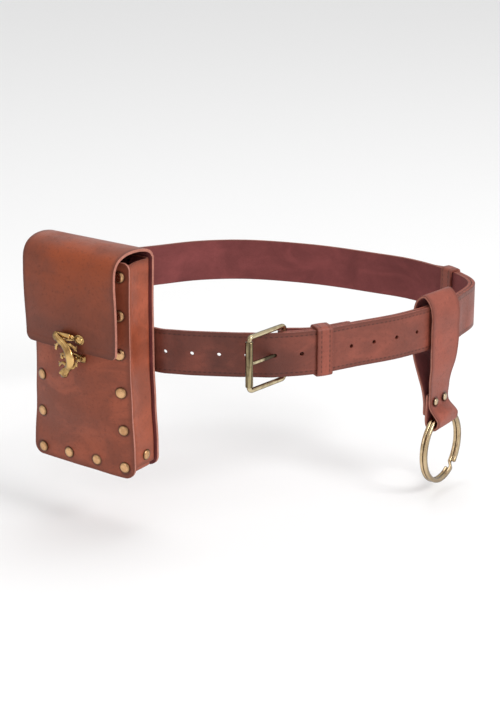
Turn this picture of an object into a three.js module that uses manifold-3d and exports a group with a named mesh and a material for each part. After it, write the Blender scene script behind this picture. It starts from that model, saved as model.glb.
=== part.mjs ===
// A waist belt with a roller buckle, a riveted flap pouch with a swing clasp, and a ring on a hanger.
// Millimetres, +Z up. The origin is the middle of the belt's loop, at the belt's mid height.
// The buckle is on the -Y side, and +X is to the right of someone who looks at the buckle.
// In a local frame, x runs along the belt to that viewer's right, -y points away from the wearer.

import * as THREE from "three";
import { mergeVertices } from "three/addons/utils/BufferGeometryUtils.js";
import Module from "manifold-3d";

const wasm = await Module();
wasm.setup();

// Clearances
const gap = 0.3; // between two pieces that touch
const slideGap = 0.7; // between the belt and a loop that slides on it

// Belt
const loopHalfLength = 196; // of the belt's centre line, side to side
const loopHalfDepth = 138; // front to back
const beltWidth = 38;
const beltThick = 3;
const tailLength = 300; // past the buckle
const foldLength = 62; // turned back behind the buckle
const heelFromMiddle = 29; // from the front middle to the buckle's heel bar
const beltStep = 13; // between two sections of the strap

// Belt holes
const holeSpacing = 22.5;
const holeRadius = 2;
const holesBefore = 4; // on the left of the hole in use
const holesAfter = 7; // on its right

// Buckle
const wireRadius = 2;
const frameLength = 43; // between the heel bar's and the roller's centres
const frameHeight = 46; // between the centres of the two side bars
const frameCorner = 3.2;
const frameLean = 37; // degrees that the roller stands away from the belt
const rollerRadius = 3.2;
const rollerLength = 39;
const prongWidth = 4;
const prongThick = 3;

// Keepers
const keeperWidth = 14;
const keeperThick = 2;
const keeperFrontAt = 32; // from the heel bar, along the belt
const keeperBackAt = 263;

// Pouch
const pouchAt = 157; // from the heel bar to the pouch's middle, on the left
const pouchHalfWidth = 49;
const pouchTop = 83; // of the panels, above the belt's middle
const pouchBottom = -101.5;
const pouchDepth = 34; // outer face of the back panel to the edge of the front panel
const pouchLeather = 2.5;
const pouchStandOff = 1.6; // between the belt and the back panel
const frontCrown = 9; // that the front panel bulges past its edges
const panelCorner = 9;
const bottomFlare = 3; // that each side grows by towards the bottom
const flapReach = 50; // of the flap's outer face from the back panel's
const flapTop = 92.3;
const flapBottom = 5;
const flapCorner = 6;
const flapSkew = 2.5; // that the flap stands out more on its right side

// Gussets
const gussetThick = 2;
const gussetInset = 1.5; // of the side wall behind the panels' edges
const gussetFlange = 19;
const gussetBend = 2.6;
const gussetBottom = -95;
const gussetBelowTop = 2.5;
const seatGap = 0.9; // between a flange and the bulging front panel
const tabHeight = 15;

// Rivets
const rivetRadius = 4.75;
const rivetDome = 2.4;
const rivetPost = 1.5;
const rivetCap = 2.5;
const rivetCapHeight = 0.8;
const flatHeadHeight = 1;
const rivetInset = 7.5; // from the panels' side edges
const rivetRise = 33; // between two rivets of a column
const lowestRivet = -94;
const rivetColumn = 6;
const rivetSides = 7;
const punchSides = 6;
const bottomRowRise = 1.5; // of the bottom row above the lowest rivets of the columns

// Belt loop behind the pouch
const loopWidth = 52;
const loopReach = 36; // of each end from the belt's middle
const loopThick = 2.2;
const loopRivetAt = 29;

// Hanger
const hangerAt = 157; // from the heel bar, on the right
const hangerHalfWidth = 18;
const hangerLeather = 2.5;
const hangerDepth = 20.3; // between its front and back layers at the belt
const hangerArch = 28; // top of the arch above the belt's middle
const hangerSlack = 2.7; // between the belt and the hanger's front layer
const hangerPull = 6.4; // of the front layer towards the wearer at the rivets
const hangerSteps = 52;
const foldWide = 0.98; // of the half width, at the fold
const foldOpenEdge = 2.2; // height above the fold's round centre up to which it stays open
const foldOpenCentre = 6.8;
const hangerDrop = 94.5; // bottom of the fold below the belt's middle
const hangerTwist = 9; // degrees, of the bottom against the top
const hangerLean = 4; // that the bottom hangs to the right of the top
const hangerRivetX = 8;
const hangerRivetDrop = 70.5;
const hangerRivetRadius = 3.8;

// Ring
const ringRadius = 30.8; // to the middle of its wire
const ringRadial = 4.2; // size of the wire across the ring
const ringAxial = 3.1; // size of one turn of the wire along the ring's axis
const ringPlay = 1.3; // of the ring in the strap's fold, on each side
const ringLift = 1.3; // of the wire above the fold's lowest line
const ringCrossing = 32; // degrees in which the wire crosses from one turn to the other
const ringSplitAt = -52; // degrees, of the crossing's middle
const ringSteps = 60;
const ringSides = 6;

// Clasp
const claspDrop = -1; // of the clasp's middle across the flap
const claspPinUp = 18.5; // of the pin above the belt's middle
const claspPinOut = 4.3; // of the pin from the flap
const claspPinRadius = 1.1;
const claspBarrel = 2.5;
const claspArmWidth = 11;
const claspEarSpan = 13.5; // from the middle to each ear
const claspPlateThick = 1.4;
const lugThick = 2.4;
const claspLength = 36; // from the pin to the snout
const catchUp = -3;
const catchHalfWidth = 12;
const catchHalfHeight = 4.5;

// The belt's centre line from above, as shares of the loop's half length and half depth,
// anticlockwise from the front middle.
const loopKnots = [
  { across: 0, deep: -0.993 },
  { across: 0.255, deep: -0.924 },
  { across: 0.458, deep: -0.77 },
  { across: 0.635, deep: -0.622 },
  { across: 0.825, deep: -0.378 },
  { across: 0.925, deep: -0.189 },
  { across: 0.987, deep: 0.022 },
  { across: 0.939, deep: 0.232 },
  { across: 0.755, deep: 0.545 },
  { across: 0.572, deep: 0.701 },
  { across: 0.292, deep: 0.898 },
  { across: 0, deep: 1 },
  { across: -0.238, deep: 0.972 },
  { across: -0.431, deep: 0.875 },
  { across: -0.714, deep: 0.703 },
  { across: -0.918, deep: 0.413 },
  { across: -1, deep: 0.02 },
  { across: -0.944, deep: -0.27 },
  { across: -0.806, deep: -0.493 },
  { across: -0.604, deep: -0.691 },
  { across: -0.402, deep: -0.888 },
  { across: -0.289, deep: -0.948 },
  { across: -0.122, deep: -0.984 },
];

// The front panel by height: shares of the pouch's height, of the flare and of the crown.
const frontRows = [
  { up: 0, flare: 1, crown: 0.3 },
  { up: 0.12, flare: 1, crown: 0.32 },
  { up: 0.3, flare: 0.45, crown: 0.8 },
  { up: 0.5, flare: 0, crown: 1 },
  { up: 0.75, flare: 0, crown: 0.9 },
  { up: 1, flare: 0.3, crown: 0.75 },
];

// The flap from the top of the back panel: shares of its reach, and of its rise over the panels.
const flapRows = [
  { reach: 0.03, rise: 0.05 },
  { reach: 0.12, rise: 0.52 },
  { reach: 0.28, rise: 0.83 },
  { reach: 0.5, rise: 1 },
  { reach: 0.73, rise: 0.9 },
  { reach: 0.9, rise: 0.45 },
  { reach: 0.985, rise: -0.3 },
];

// The flap's hanging part: shares of its reach, and of the way from the panels' top to its edge.
const flapFallRows = [
  { reach: 1.015, fall: 0.2 },
  { reach: 1.005, fall: 0.5 },
  { reach: 0.99, fall: 0.78 },
  { reach: 0.99, fall: 1 },
];

// The hanger's layers from the cut back end, over the belt and down: how far each layer has opened
// from the rivets towards its place at the belt, shares of the drop or of the arch's height, and
// shares of the half width. Over the belt, open runs from the front layer to the back layer.
const hangerBack = [
  { open: 0, drop: 0.87, wide: 0.92 },
  { open: 0, drop: 0.74, wide: 0.92 },
  { open: 0.14, drop: 0.62, wide: 0.92 },
  { open: 0.5, drop: 0.48, wide: 0.95 },
  { open: 0.98, drop: 0.28, wide: 1 },
  { open: 1.02, drop: 0.08, wide: 1 },
];
const hangerOver = [
  { open: 1, rise: 0.5 },
  { open: 0.8, rise: 0.86 },
  { open: 0.48, rise: 1 },
  { open: 0.16, rise: 0.8 },
  { open: 0, rise: 0.4 },
];
const hangerFront = [
  { open: 1, drop: 0.02, wide: 1 },
  { open: 1, drop: 0.2, wide: 1 },
  { open: 0.74, drop: 0.37, wide: 0.97 },
  { open: 0.18, drop: 0.53, wide: 0.93 },
  { open: 0, drop: 0.64, wide: 0.91 },
  { open: 0, drop: 0.79, wide: 0.91 },
];

// The clasp's animal from the pin to its snout: shares of the clasp's length, and half widths.
const lizardSpine = [
  { side: -0.1, down: 0.06, out: 0.02, thick: 2.2 },
  { side: -0.04, down: 0.26, out: 0.06, thick: 3 },
  { side: 0.08, down: 0.46, out: 0.06, thick: 3.1 },
  { side: 0.14, down: 0.64, out: 0.04, thick: 2.7 },
  { side: 0.08, down: 0.8, out: 0.02, thick: 2.2 },
  { side: -0.02, down: 0.9, out: 0.02, thick: 3 },
  { side: -0.06, down: 0.98, out: 0, thick: 1.5 },
];

// Its legs: where each leaves the spine, its knee and its foot, as shares of the clasp's length.
const lizardLegs = [
  { hip: { side: -0.04, down: 0.22 }, knee: { side: -0.21, down: 0.2 }, foot: { side: -0.26, down: 0.3 } },
  { hip: { side: 0.02, down: 0.3 }, knee: { side: 0.17, down: 0.22 }, foot: { side: 0.26, down: 0.28 } },
  { hip: { side: 0.1, down: 0.66 }, knee: { side: -0.12, down: 0.6 }, foot: { side: -0.26, down: 0.47 } },
  { hip: { side: 0.12, down: 0.66 }, knee: { side: 0.25, down: 0.6 }, foot: { side: 0.28, down: 0.5 } },
];
const legThick = 1.5;

// Colours and finishes
const leatherOut = { color: 0x7a3d28, roughness: 0.55, metalness: 0 };
const leatherBelt = { color: 0x6d3426, roughness: 0.5, metalness: 0 };
const brass = { color: 0xa88a55, roughness: 0.35, metalness: 1 };

const DEG = Math.PI / 180;
const model = new THREE.Group();

// Curves and surfaces

function ease(t) {
  const u = THREE.MathUtils.clamp(t, 0, 1);
  return u * u * (3 - 2 * u);
}

// The value of a named column at a place between the table's rows.
function between(rows, key, place, column) {
  let i = 1;
  while (i < rows.length - 1 && rows[i][key] < place) i += 1;
  const t = (place - rows[i - 1][key]) / (rows[i][key] - rows[i - 1][key]);
  return THREE.MathUtils.lerp(rows[i - 1][column], rows[i][column], ease(t));
}

// A closed geometry from points and triangles, with its faces turned outwards.
function closedGeometry(points, triangles) {
  let volume = 0;
  for (let i = 0; i < triangles.length; i += 3) {
    const [a, b, c] = [0, 1, 2].map((k) => points[triangles[i + k]]);
    volume += a.dot(b.clone().cross(c));
  }
  if (volume < 0) triangles.reverse();
  return new THREE.BufferGeometry().setFromPoints(points).setIndex(triangles);
}

// A sheet of leather: a grid of points in its middle surface, given its thickness.
function sheet(grid, thickness) {
  const rows = grid.length;
  const columns = grid[0].length;
  const at = (i, j) =>
    grid[THREE.MathUtils.clamp(i, 0, rows - 1)][THREE.MathUtils.clamp(j, 0, columns - 1)];
  const points = [];
  for (const side of [0.5, -0.5])
    for (let i = 0; i < rows; i += 1)
      for (let j = 0; j < columns; j += 1) {
        const along = at(i + 1, j).clone().sub(at(i - 1, j));
        const across = at(i, j + 1).clone().sub(at(i, j - 1));
        const normal = along.cross(across).normalize();
        points.push(at(i, j).clone().addScaledVector(normal, side * thickness));
      }
  const under = rows * columns;
  const triangles = [];
  const quad = (a, b, c, d) => triangles.push(a, b, c, a, c, d);
  for (let i = 0; i < rows - 1; i += 1)
    for (let j = 0; j < columns - 1; j += 1) {
      const a = i * columns + j;
      quad(a, a + columns, a + columns + 1, a + 1);
      quad(under + a, under + a + 1, under + a + columns + 1, under + a + columns);
    }
  const rim = [];
  for (let j = 0; j < columns - 1; j += 1) rim.push(j);
  for (let i = 0; i < rows - 1; i += 1) rim.push(i * columns + columns - 1);
  for (let j = columns - 1; j > 0; j -= 1) rim.push((rows - 1) * columns + j);
  for (let i = rows - 1; i > 0; i -= 1) rim.push(i * columns);
  rim.forEach((a, k) => {
    const b = rim[(k + 1) % rim.length];
    quad(a, b, under + b, under + a);
  });
  return closedGeometry(points, triangles);
}

// A solid through a row of rings with the same number of points, closed by a fan at each end.
function loft(rings) {
  const sides = rings[0].length;
  const points = rings.flat();
  const triangles = [];
  for (let i = 0; i < rings.length - 1; i += 1)
    for (let j = 0; j < sides; j += 1) {
      const a = i * sides + j;
      const b = i * sides + ((j + 1) % sides);
      triangles.push(a, b, b + sides, a, b + sides, a + sides);
    }
  for (const [ring, turned] of [[0, true], [rings.length - 1, false]])
    for (let j = 1; j < sides - 1; j += 1) {
      const [a, b, c] = [ring * sides, ring * sides + j, ring * sides + j + 1];
      triangles.push(...(turned ? [a, c, b] : [a, b, c]));
    }
  return closedGeometry(points, triangles);
}

// A round bar through points, each with its radius.
function bar(stations, sides) {
  const rings = stations.map(({ point, radius }, i) => {
    const before = stations[Math.max(i - 1, 0)].point;
    const after = stations[Math.min(i + 1, stations.length - 1)].point;
    const along = after.clone().sub(before).normalize();
    const out = new THREE.Vector3(0, -1, 0);
    const side = along.clone().cross(out).normalize();
    out.copy(side).cross(along);
    return Array.from({ length: sides }, (_, k) => {
      const angle = (k * 2 * Math.PI) / sides;
      return point
        .clone()
        .addScaledVector(side, radius * Math.cos(angle))
        .addScaledVector(out, radius * Math.sin(angle));
    });
  });
  return loft(rings);
}

// Cuts and joins

function solidOf(geometry) {
  const bare = geometry.clone();
  for (const name of ["normal", "uv"]) bare.deleteAttribute(name);
  const merged = mergeVertices(bare, 1e-3);
  return new wasm.Manifold(
    new wasm.Mesh({
      numProp: 3,
      vertProperties: Float32Array.from(merged.attributes.position.array),
      triVerts: Uint32Array.from(merged.index.array),
    }),
  );
}

function geometryOf(solid) {
  const mesh = solid.getMesh();
  const geometry = new THREE.BufferGeometry();
  geometry.setAttribute("position", new THREE.BufferAttribute(mesh.vertProperties, 3));
  return geometry.setIndex(new THREE.BufferAttribute(mesh.triVerts, 1));
}

function cut(geometry, tools) {
  return geometryOf(tools.reduce((left, tool) => left.subtract(solidOf(tool)), solidOf(geometry)));
}

function join(geometries) {
  return geometryOf(geometries.map(solidOf).reduce((whole, next) => whole.add(next)));
}

// A round punch along a local y axis, moved to its place.
function punch(place, radius, from, to) {
  const corner = radius / Math.cos(Math.PI / punchSides);
  return new THREE.CylinderGeometry(corner, corner, to - from, punchSides)
    .translate(0, (from + to) / 2, 0)
    .applyMatrix4(place);
}

function add(parent, name, geometry, finish) {
  const mesh = new THREE.Mesh(geometry, new THREE.MeshStandardMaterial(finish));
  mesh.name = name;
  parent.add(mesh);
  return mesh;
}

function moved(x, out, up, turn = 0) {
  return new THREE.Matrix4().makeRotationZ(turn).setPosition(x, -out, up);
}

// The belt's line

const layerStep = beltThick + gap; // from one layer of the strap to the next
const loopCurve = new THREE.CatmullRomCurve3(
  loopKnots.map((knot) => new THREE.Vector3(knot.across * loopHalfLength, knot.deep * loopHalfDepth, 0)),
  true,
  "centripetal",
);
loopCurve.arcLengthDivisions = 1200;
const loopLength = loopCurve.getLength();

// The strap lies flat where a stiff piece or a loop sits on it.
const seats = [
  { at: -pouchAt, half: pouchHalfWidth, blend: 16 },
  { at: hangerAt, half: hangerHalfWidth, blend: 14 },
  { at: keeperFrontAt, half: keeperWidth / 2, blend: 8 },
  { at: keeperBackAt, half: keeperWidth / 2, blend: 8 },
  { at: 0, half: 8, blend: 12 },
];

function drawnPoint(s) {
  const share = (s + heelFromMiddle) / loopLength;
  return loopCurve.getPointAt(share - Math.floor(share));
}

function linePoint(s) {
  const point = drawnPoint(s);
  for (const { at, half, blend } of seats) {
    const away = s - at - loopLength * Math.round((s - at) / loopLength);
    const weight = ease((half + blend - Math.abs(away)) / blend);
    if (weight === 0) continue;
    const start = drawnPoint(at - half);
    const end = drawnPoint(at + half);
    const middle = start.clone().add(end).multiplyScalar(0.5).lerp(drawnPoint(at), 0.5);
    const along = end.sub(start).normalize();
    point.lerp(middle.addScaledVector(along, away), weight);
  }
  return point;
}

function lineAngle(s) {
  const along = linePoint(s + 1).sub(linePoint(s - 1));
  return Math.atan2(along.y, along.x);
}

// The point at a distance along the belt from the heel bar, moved outwards.
function beltPoint(s, out) {
  const angle = lineAngle(s);
  const point = linePoint(s);
  return point.add(new THREE.Vector3(Math.sin(angle), -Math.cos(angle), 0).multiplyScalar(out));
}

function beltGroup(s) {
  const group = new THREE.Group();
  group.position.copy(linePoint(s));
  group.rotation.z = lineAngle(s);
  model.add(group);
  return group;
}

// Belt strap

const foldRadius = wireRadius + gap + beltThick / 2; // of the strap's middle round the heel bar
// The prong crosses the outer layer of the strap at the frame's slant.
const prongHoleAt = -(foldRadius + layerStep) / Math.tan(frameLean * DEG);
const prongHoleLength =
  beltThick / Math.tan(frameLean * DEG) + prongThick / Math.sin(frameLean * DEG) + 8 * gap;

// How far the strap lies outside the loop's line: it climbs onto its own outside at the buckle.
function layerOut(s) {
  return layerStep * ease((s - loopLength + 34) / 26);
}

function strapLine() {
  const line = [];
  for (let s = foldLength; s > 0; s -= beltStep) {
    const open = 2 * foldRadius - layerStep;
    line.push(beltPoint(s, -layerStep - open * ease(1 - s / 26)));
  }
  const bends = 8;
  for (let k = 0; k <= bends; k += 1) {
    const angle = (k / bends) * Math.PI;
    const s = -foldRadius * Math.sin(angle);
    line.push(beltPoint(0, 0).lerp(beltPoint(-1, 0), -s).add(
      beltPoint(0, -foldRadius * (1 + Math.cos(angle))).sub(beltPoint(0, 0)),
    ));
  }
  const end = loopLength + tailLength;
  const steps = Math.round(end / beltStep);
  for (let k = 1; k <= steps; k += 1) {
    const s = (end * k) / steps;
    line.push(beltPoint(s, layerOut(s)));
  }
  return line;
}

// The tail ends in a blunt point.
function beltStrap() {
  const line = strapLine();
  const half = beltWidth / 2;
  const grid = line.map((point, i) => {
    const left = line.length - 1 - i;
    const narrow = left === 0 ? 0.45 : left === 1 ? 0.93 : 1;
    return [-half, half].map((z) => point.clone().setZ(z * narrow));
  });
  const tools = [];
  for (let k = -holesBefore; k <= holesAfter; k += 1) {
    const s = prongHoleAt + k * holeSpacing;
    const place = moved(0, 0, 0, lineAngle(s)).setPosition(beltPoint(s, layerOut(s + loopLength)));
    const reach = beltThick / 2 + gap / 2;
    if (k === 0) {
      const slot = new THREE.BoxGeometry(prongHoleLength, 2 * reach + 2, prongWidth + 2 * gap);
      tools.push(slot.translate(0, -1, 0).applyMatrix4(place));
    } else tools.push(punch(place, holeRadius, -reach - 2, reach));
  }
  const slotDeep = 2 * foldRadius + beltThick;
  const slotLong = 5 * foldRadius;
  const slot = new THREE.BoxGeometry(slotLong, slotDeep, prongWidth + 4 * gap);
  const heel = moved(0, 0, 0, lineAngle(0)).setPosition(beltPoint(0, beltThick / 2 + gap / 2));
  tools.push(slot.translate(0, slotDeep / 2, 0).applyMatrix4(heel));
  add(model, "belt_strap", cut(sheet(grid, beltThick), tools), leatherBelt);
}

// Buckle

// Points of a rounded rectangle in the x, z plane, its left side on the roller.
function frameCurve() {
  const halfHeight = frameHeight / 2 - frameCorner;
  const corners = [
    { x: -frameCorner, z: -halfHeight, start: -90 },
    { x: -frameCorner, z: halfHeight, start: 0 },
    { x: frameCorner - frameLength, z: halfHeight, start: 90 },
    { x: frameCorner - frameLength, z: -halfHeight, start: 180 },
  ];
  return corners.flatMap(({ x, z, start }) =>
    [0, 30, 60, 90].map((turn) => {
      const angle = (start + turn) * DEG;
      return new THREE.Vector3(x + frameCorner * Math.cos(angle), 0, z + frameCorner * Math.sin(angle));
    }));
}

// A round wire bent in the x, z plane through the points, and closed on itself.
function closedWire(points, radius, sides) {
  const count = points.length;
  const rings = points.map((point, i) => {
    const along = points[(i + 1) % count].clone().sub(points[(i + count - 1) % count]).normalize();
    const side = new THREE.Vector3(-along.z, 0, along.x);
    return Array.from({ length: sides }, (_, k) => {
      const angle = (k * 2 * Math.PI) / sides;
      const ring = point.clone().addScaledVector(side, radius * Math.cos(angle));
      ring.y += radius * Math.sin(angle);
      return ring;
    });
  });
  const triangles = [];
  for (let i = 0; i < count; i += 1)
    for (let j = 0; j < sides; j += 1) {
      const next = ((i + 1) % count) * sides;
      const [a, b] = [i * sides + j, i * sides + ((j + 1) % sides)];
      const [c, d] = [next + ((j + 1) % sides), next + j];
      triangles.push(a, b, c, a, c, d);
    }
  return closedGeometry(rings.flat(), triangles);
}

function buckle() {
  const heel = beltGroup(0);
  const frame = new THREE.Group();
  frame.position.y = foldRadius;
  frame.rotation.z = frameLean * DEG;
  heel.add(frame);
  add(frame, "buckle_frame", closedWire(frameCurve(), wireRadius, 8), brass);

  const inner = wireRadius + gap;
  const half = rollerLength / 2;
  const profile = [
    new THREE.Vector2(inner, -half),
    new THREE.Vector2(rollerRadius, -half),
    new THREE.Vector2(rollerRadius, half),
    new THREE.Vector2(inner, half),
    new THREE.Vector2(inner, -half),
  ];
  const roller = add(frame, "buckle_roller", new THREE.LatheGeometry(profile, 12), brass);
  roller.rotation.x = Math.PI / 2;
  roller.position.x = -frameLength;

  const eye = wireRadius + gap;
  const outer = eye + 1.4;
  const reach = frameLength - rollerRadius - gap;
  const shape = new THREE.Shape();
  shape.absarc(0, 0, outer, -150 * DEG, 150 * DEG, false);
  shape.lineTo(-reach, prongThick / 2 - 0.6);
  shape.lineTo(-reach, -prongThick / 2 + 0.6);
  const hole = new THREE.Path();
  hole.absarc(0, 0, eye, 0, 2 * Math.PI, true);
  shape.holes.push(hole);
  const body = new THREE.ExtrudeGeometry(shape, {
    depth: prongWidth,
    bevelEnabled: false,
    curveSegments: 12,
  }).translate(0, 0, -prongWidth / 2);
  add(frame, "buckle_prong", body, brass);
}

// Keepers

// A leather band round everything between two places across the belt.
function keeper(name, at, inner, outer) {
  const halfHeight = beltWidth / 2 + gap;
  const box = (grow) => {
    const shape = new THREE.Shape();
    shape.moveTo(-outer - grow, -halfHeight - grow);
    shape.lineTo(-inner + grow, -halfHeight - grow);
    shape.lineTo(-inner + grow, halfHeight + grow);
    shape.lineTo(-outer - grow, halfHeight + grow);
    shape.closePath();
    return shape;
  };
  const shape = box(keeperThick);
  shape.holes.push(box(0));
  const body = new THREE.ExtrudeGeometry(shape, { depth: keeperWidth, bevelEnabled: false });
  body.translate(0, 0, -keeperWidth / 2);
  body.applyMatrix4(
    new THREE.Matrix4().makeBasis(
      new THREE.Vector3(0, 1, 0),
      new THREE.Vector3(0, 0, 1),
      new THREE.Vector3(1, 0, 0),
    ),
  );
  add(beltGroup(at), name, body, leatherOut);
}

function keepers() {
  const outer = layerStep + beltThick / 2 + slideGap;
  const inner = beltThick / 2 + slideGap;
  keeper("keeper_front", keeperFrontAt, -inner - layerStep, outer);
  keeper("keeper_back", keeperBackAt, -inner, outer);
}

// Rivets

// A domed rivet along local y, its head on -y, its post reaching inwards to its cap.
function rivetGeometry(radius, dome, depth) {
  const profile = [
    new THREE.Vector2(0, -depth - 2 * gap - rivetCapHeight),
    new THREE.Vector2(rivetCap, -depth - 2 * gap - rivetCapHeight),
    new THREE.Vector2(rivetCap, -depth - 2 * gap),
    new THREE.Vector2(rivetPost, -depth - 2 * gap),
    new THREE.Vector2(rivetPost, 0),
    new THREE.Vector2(radius, 0),
    new THREE.Vector2(0, dome),
  ];
  return new THREE.LatheGeometry(profile, rivetSides).rotateX(Math.PI);
}

// A rivet at a place on a face, its head the seating gap above it.
function rivet(parent, name, place, radius, dome, depth) {
  const mesh = add(parent, name, rivetGeometry(radius, dome, depth), brass);
  mesh.applyMatrix4(place);
  mesh.translateY(-gap);
}

// Pouch

const pouchHeight = pouchTop - pouchBottom;
const middle = pouchLeather / 2;

function halfWidthAt(up) {
  const share = (up - pouchBottom) / pouchHeight;
  return pouchHalfWidth + bottomFlare * between(frontRows, "up", share, "flare");
}

// How far the front panel's middle surface lies out from the back panel's outer face.
function frontOut(x, up) {
  const share = (up - pouchBottom) / pouchHeight;
  const crown = frontCrown * between(frontRows, "up", share, "crown");
  const side = THREE.MathUtils.clamp(x / halfWidthAt(up), -1, 1);
  return pouchDepth - middle + crown * (1 - side * side);
}

function frontTurn(x, up) {
  return Math.atan2(frontOut(x + 1, up) - frontOut(x - 1, up), 2) * -1;
}

// The width left where a corner is rounded, a distance from the panel's end.
function rounded(half, fromEnd, radius) {
  const inside = Math.max(radius - fromEnd, 0);
  return half - radius + Math.sqrt(Math.max(radius * radius - inside * inside, 0));
}

function spread(from, to, steps) {
  return Array.from({ length: steps + 1 }, (_, i) => from + ((to - from) * i) / steps);
}

function cornerRows(radius) {
  return [0, 0.12, 0.4, 1].map((share) => share * radius);
}

function frontPanel() {
  const ups = [
    ...cornerRows(panelCorner).map((d) => pouchBottom + d),
    ...spread(pouchBottom + panelCorner, pouchTop - flapCorner, 6).slice(1),
    ...cornerRows(flapCorner).reverse().slice(1).map((d) => pouchTop - d),
  ];
  return ups.map((up) => {
    const low = rounded(halfWidthAt(up), up - pouchBottom, panelCorner);
    const half = Math.min(low, rounded(halfWidthAt(up), pouchTop - up, flapCorner));
    return spread(-half, half, 5).map((x) => new THREE.Vector3(x, -frontOut(x, up), up));
  });
}

// The back panel and the flap are one leather: out and up for each row.
function backLine() {
  const rows = [
    ...cornerRows(panelCorner).map((d) => ({ out: middle, up: pouchBottom + d, end: d })),
    ...spread(pouchBottom + panelCorner, pouchTop - 1.5, 5).slice(1).map((up) => ({ out: middle, up })),
  ];
  const reach = flapReach - middle;
  const rise = flapTop - middle - pouchTop;
  const over = flapRows.map((row) => ({ out: row.reach * reach, up: pouchTop + row.rise * rise }));
  const fall = pouchTop - flapBottom;
  const hang = flapFallRows.map((row) => ({ out: row.reach * reach, up: pouchTop - row.fall * fall }));
  const knots = [rows.at(-1), ...over, ...hang].map((row) => new THREE.Vector3(0, row.out, row.up));
  const curve = new THREE.CatmullRomCurve3(knots, false, "centripetal");
  const bends = curve.getSpacedPoints(20).slice(1);
  const flap = bends.map((p) => ({ out: p.y, up: p.z, flap: true }));
  const last = flap.pop();
  for (const d of cornerRows(flapCorner).reverse())
    flap.push({ out: last.out, up: last.up + d, flap: true, end: d });
  return [...rows, ...flap.filter((row, i, all) => row.end >= 0 || row.up > last.up + flapCorner + 1
    || row.out < reach / 2 || i < all.length / 2)];
}

function backAndFlap() {
  return backLine().map(({ out, up, flap, end }) => {
    const full = flap ? pouchHalfWidth : halfWidthAt(up);
    const half = end >= 0 ? rounded(full, end, flap ? flapCorner : panelCorner) : full;
    const skew = flapSkew * ease(out / flapReach);
    return spread(-half, half, 4).map((x) =>
      new THREE.Vector3(x, -out - skew * (x / pouchHalfWidth) ** 3, up));
  });
}

// A quarter bend between two walls, as how far each point has come along the first and the second.
const quarterBend = [0, 45, 90].map((turn) => ({
  first: Math.sin(turn * DEG),
  second: 1 - Math.cos(turn * DEG),
}));

// The gusset's path across the pouch's depth at a height, from flange to flange, on the right.
function gussetRow(up) {
  const wall = halfWidthAt(up) - gussetInset - gussetThick / 2;
  const behind = middle + seatGap + gussetThick / 2;
  const back = middle + middle + gap + gussetThick / 2;
  const from = wall - gussetFlange;
  const turn = wall - gussetBend;
  const path = spread(from, turn, 3).map((x) => ({ x, out: frontOut(x, up) - behind }));
  const { out: edge } = path.pop();
  for (const { first, second } of quarterBend)
    path.push({ x: turn + gussetBend * first, out: edge - gussetBend * second });
  for (const { first, second } of quarterBend.toReversed())
    path.push({ x: turn + gussetBend * first, out: back + gussetBend * second });
  path.push({ x: from, out: back });
  return path;
}

function gussetSide(hand) {
  const ups = [gussetBottom, ...spread(gussetBottom + tabHeight, pouchTop - gussetBelowTop, 4)];
  return ups.map((up) =>
    gussetRow(up).map(({ x, out }) => new THREE.Vector3(hand * x, -out, up)));
}

// The bottom gusset: a channel with a flange on each panel, and a tab up inside each side.
function gussetBottomPiece() {
  const floor = pouchBottom + gussetThick;
  const bend = gussetBend;
  const wall = halfWidthAt(gussetBottom + tabHeight) - gussetInset - gussetThick;
  const clear = gap + gussetThick / 2;
  const channel = (low, high, top) => [
    { at: low, up: top },
    ...quarterBend.map(({ first, second }) => ({ at: low + bend * second, up: floor + bend * (1 - first) })),
    ...quarterBend
      .map(({ first, second }) => ({ at: high - bend * second, up: floor + bend * (1 - first) }))
      .toReversed(),
    { at: high, up: top },
  ];
  const flangeHalf = wall - gussetFlange - 2 * gap;
  const back = pouchLeather + clear;
  const rivetUp = lowestRivet + bottomRowRise;
  const long = spread(-flangeHalf, flangeHalf, 4).map((x) => {
    const front = frontOut(x, rivetUp) - middle - seatGap - gussetThick / 2;
    return channel(back, front, floor + tabHeight).map(({ at, up }) => new THREE.Vector3(x, -at, up));
  });
  const side = wall - clear;
  const tabBack = pouchLeather + gussetThick + 3 * gap + bend;
  const tabFront = frontOut(side, gussetBottom) - middle - seatGap - gussetThick - 2 * gap - bend;
  const cross = spread(tabBack, tabFront, 1).map((out) =>
    channel(-side, side, gussetBottom + tabHeight).map(({ at, up }) => new THREE.Vector3(at, -out, up)));
  return join([sheet(long, gussetThick), sheet(cross, gussetThick)]);
}

// The places of the rivets on the front, as x and up, the back's in the same places.
function rivetPlaces() {
  const places = [];
  for (let k = 0; k < rivetColumn; k += 1)
    for (const hand of [-1, 1]) {
      const up = lowestRivet + k * rivetRise;
      places.push({ name: `${hand < 0 ? "left" : "right"}_${k + 1}`, x: hand * (halfWidthAt(up) - rivetInset), up });
    }
  const third = (halfWidthAt(lowestRivet) - rivetInset) / 3;
  for (const [hand, side] of [[-1, "left"], [1, "right"]])
    places.push({ name: `bottom_${side}`, x: hand * third, up: lowestRivet + bottomRowRise });
  return places;
}

function beltLoopGrid() {
  const room = pouchStandOff + beltThick + slideGap + loopThick / 2;
  const seat = gap + loopThick / 2;
  const rise = beltWidth / 2 + slideGap + 3;
  const line = [
    { up: -loopReach, deep: seat },
    { up: -rise - 2.5, deep: seat },
    { up: -rise, deep: seat + 0.6 },
    { up: -rise + 2.2, deep: room },
    { up: 0, deep: room + 0.8 },
    { up: rise - 2.2, deep: room },
    { up: rise, deep: seat + 0.6 },
    { up: rise + 2.5, deep: seat },
    { up: loopReach, deep: seat },
  ];
  return line.map(({ up, deep }) => spread(-loopWidth / 2, loopWidth / 2, 2).map((x) =>
    new THREE.Vector3(x, deep, up)));
}

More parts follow.
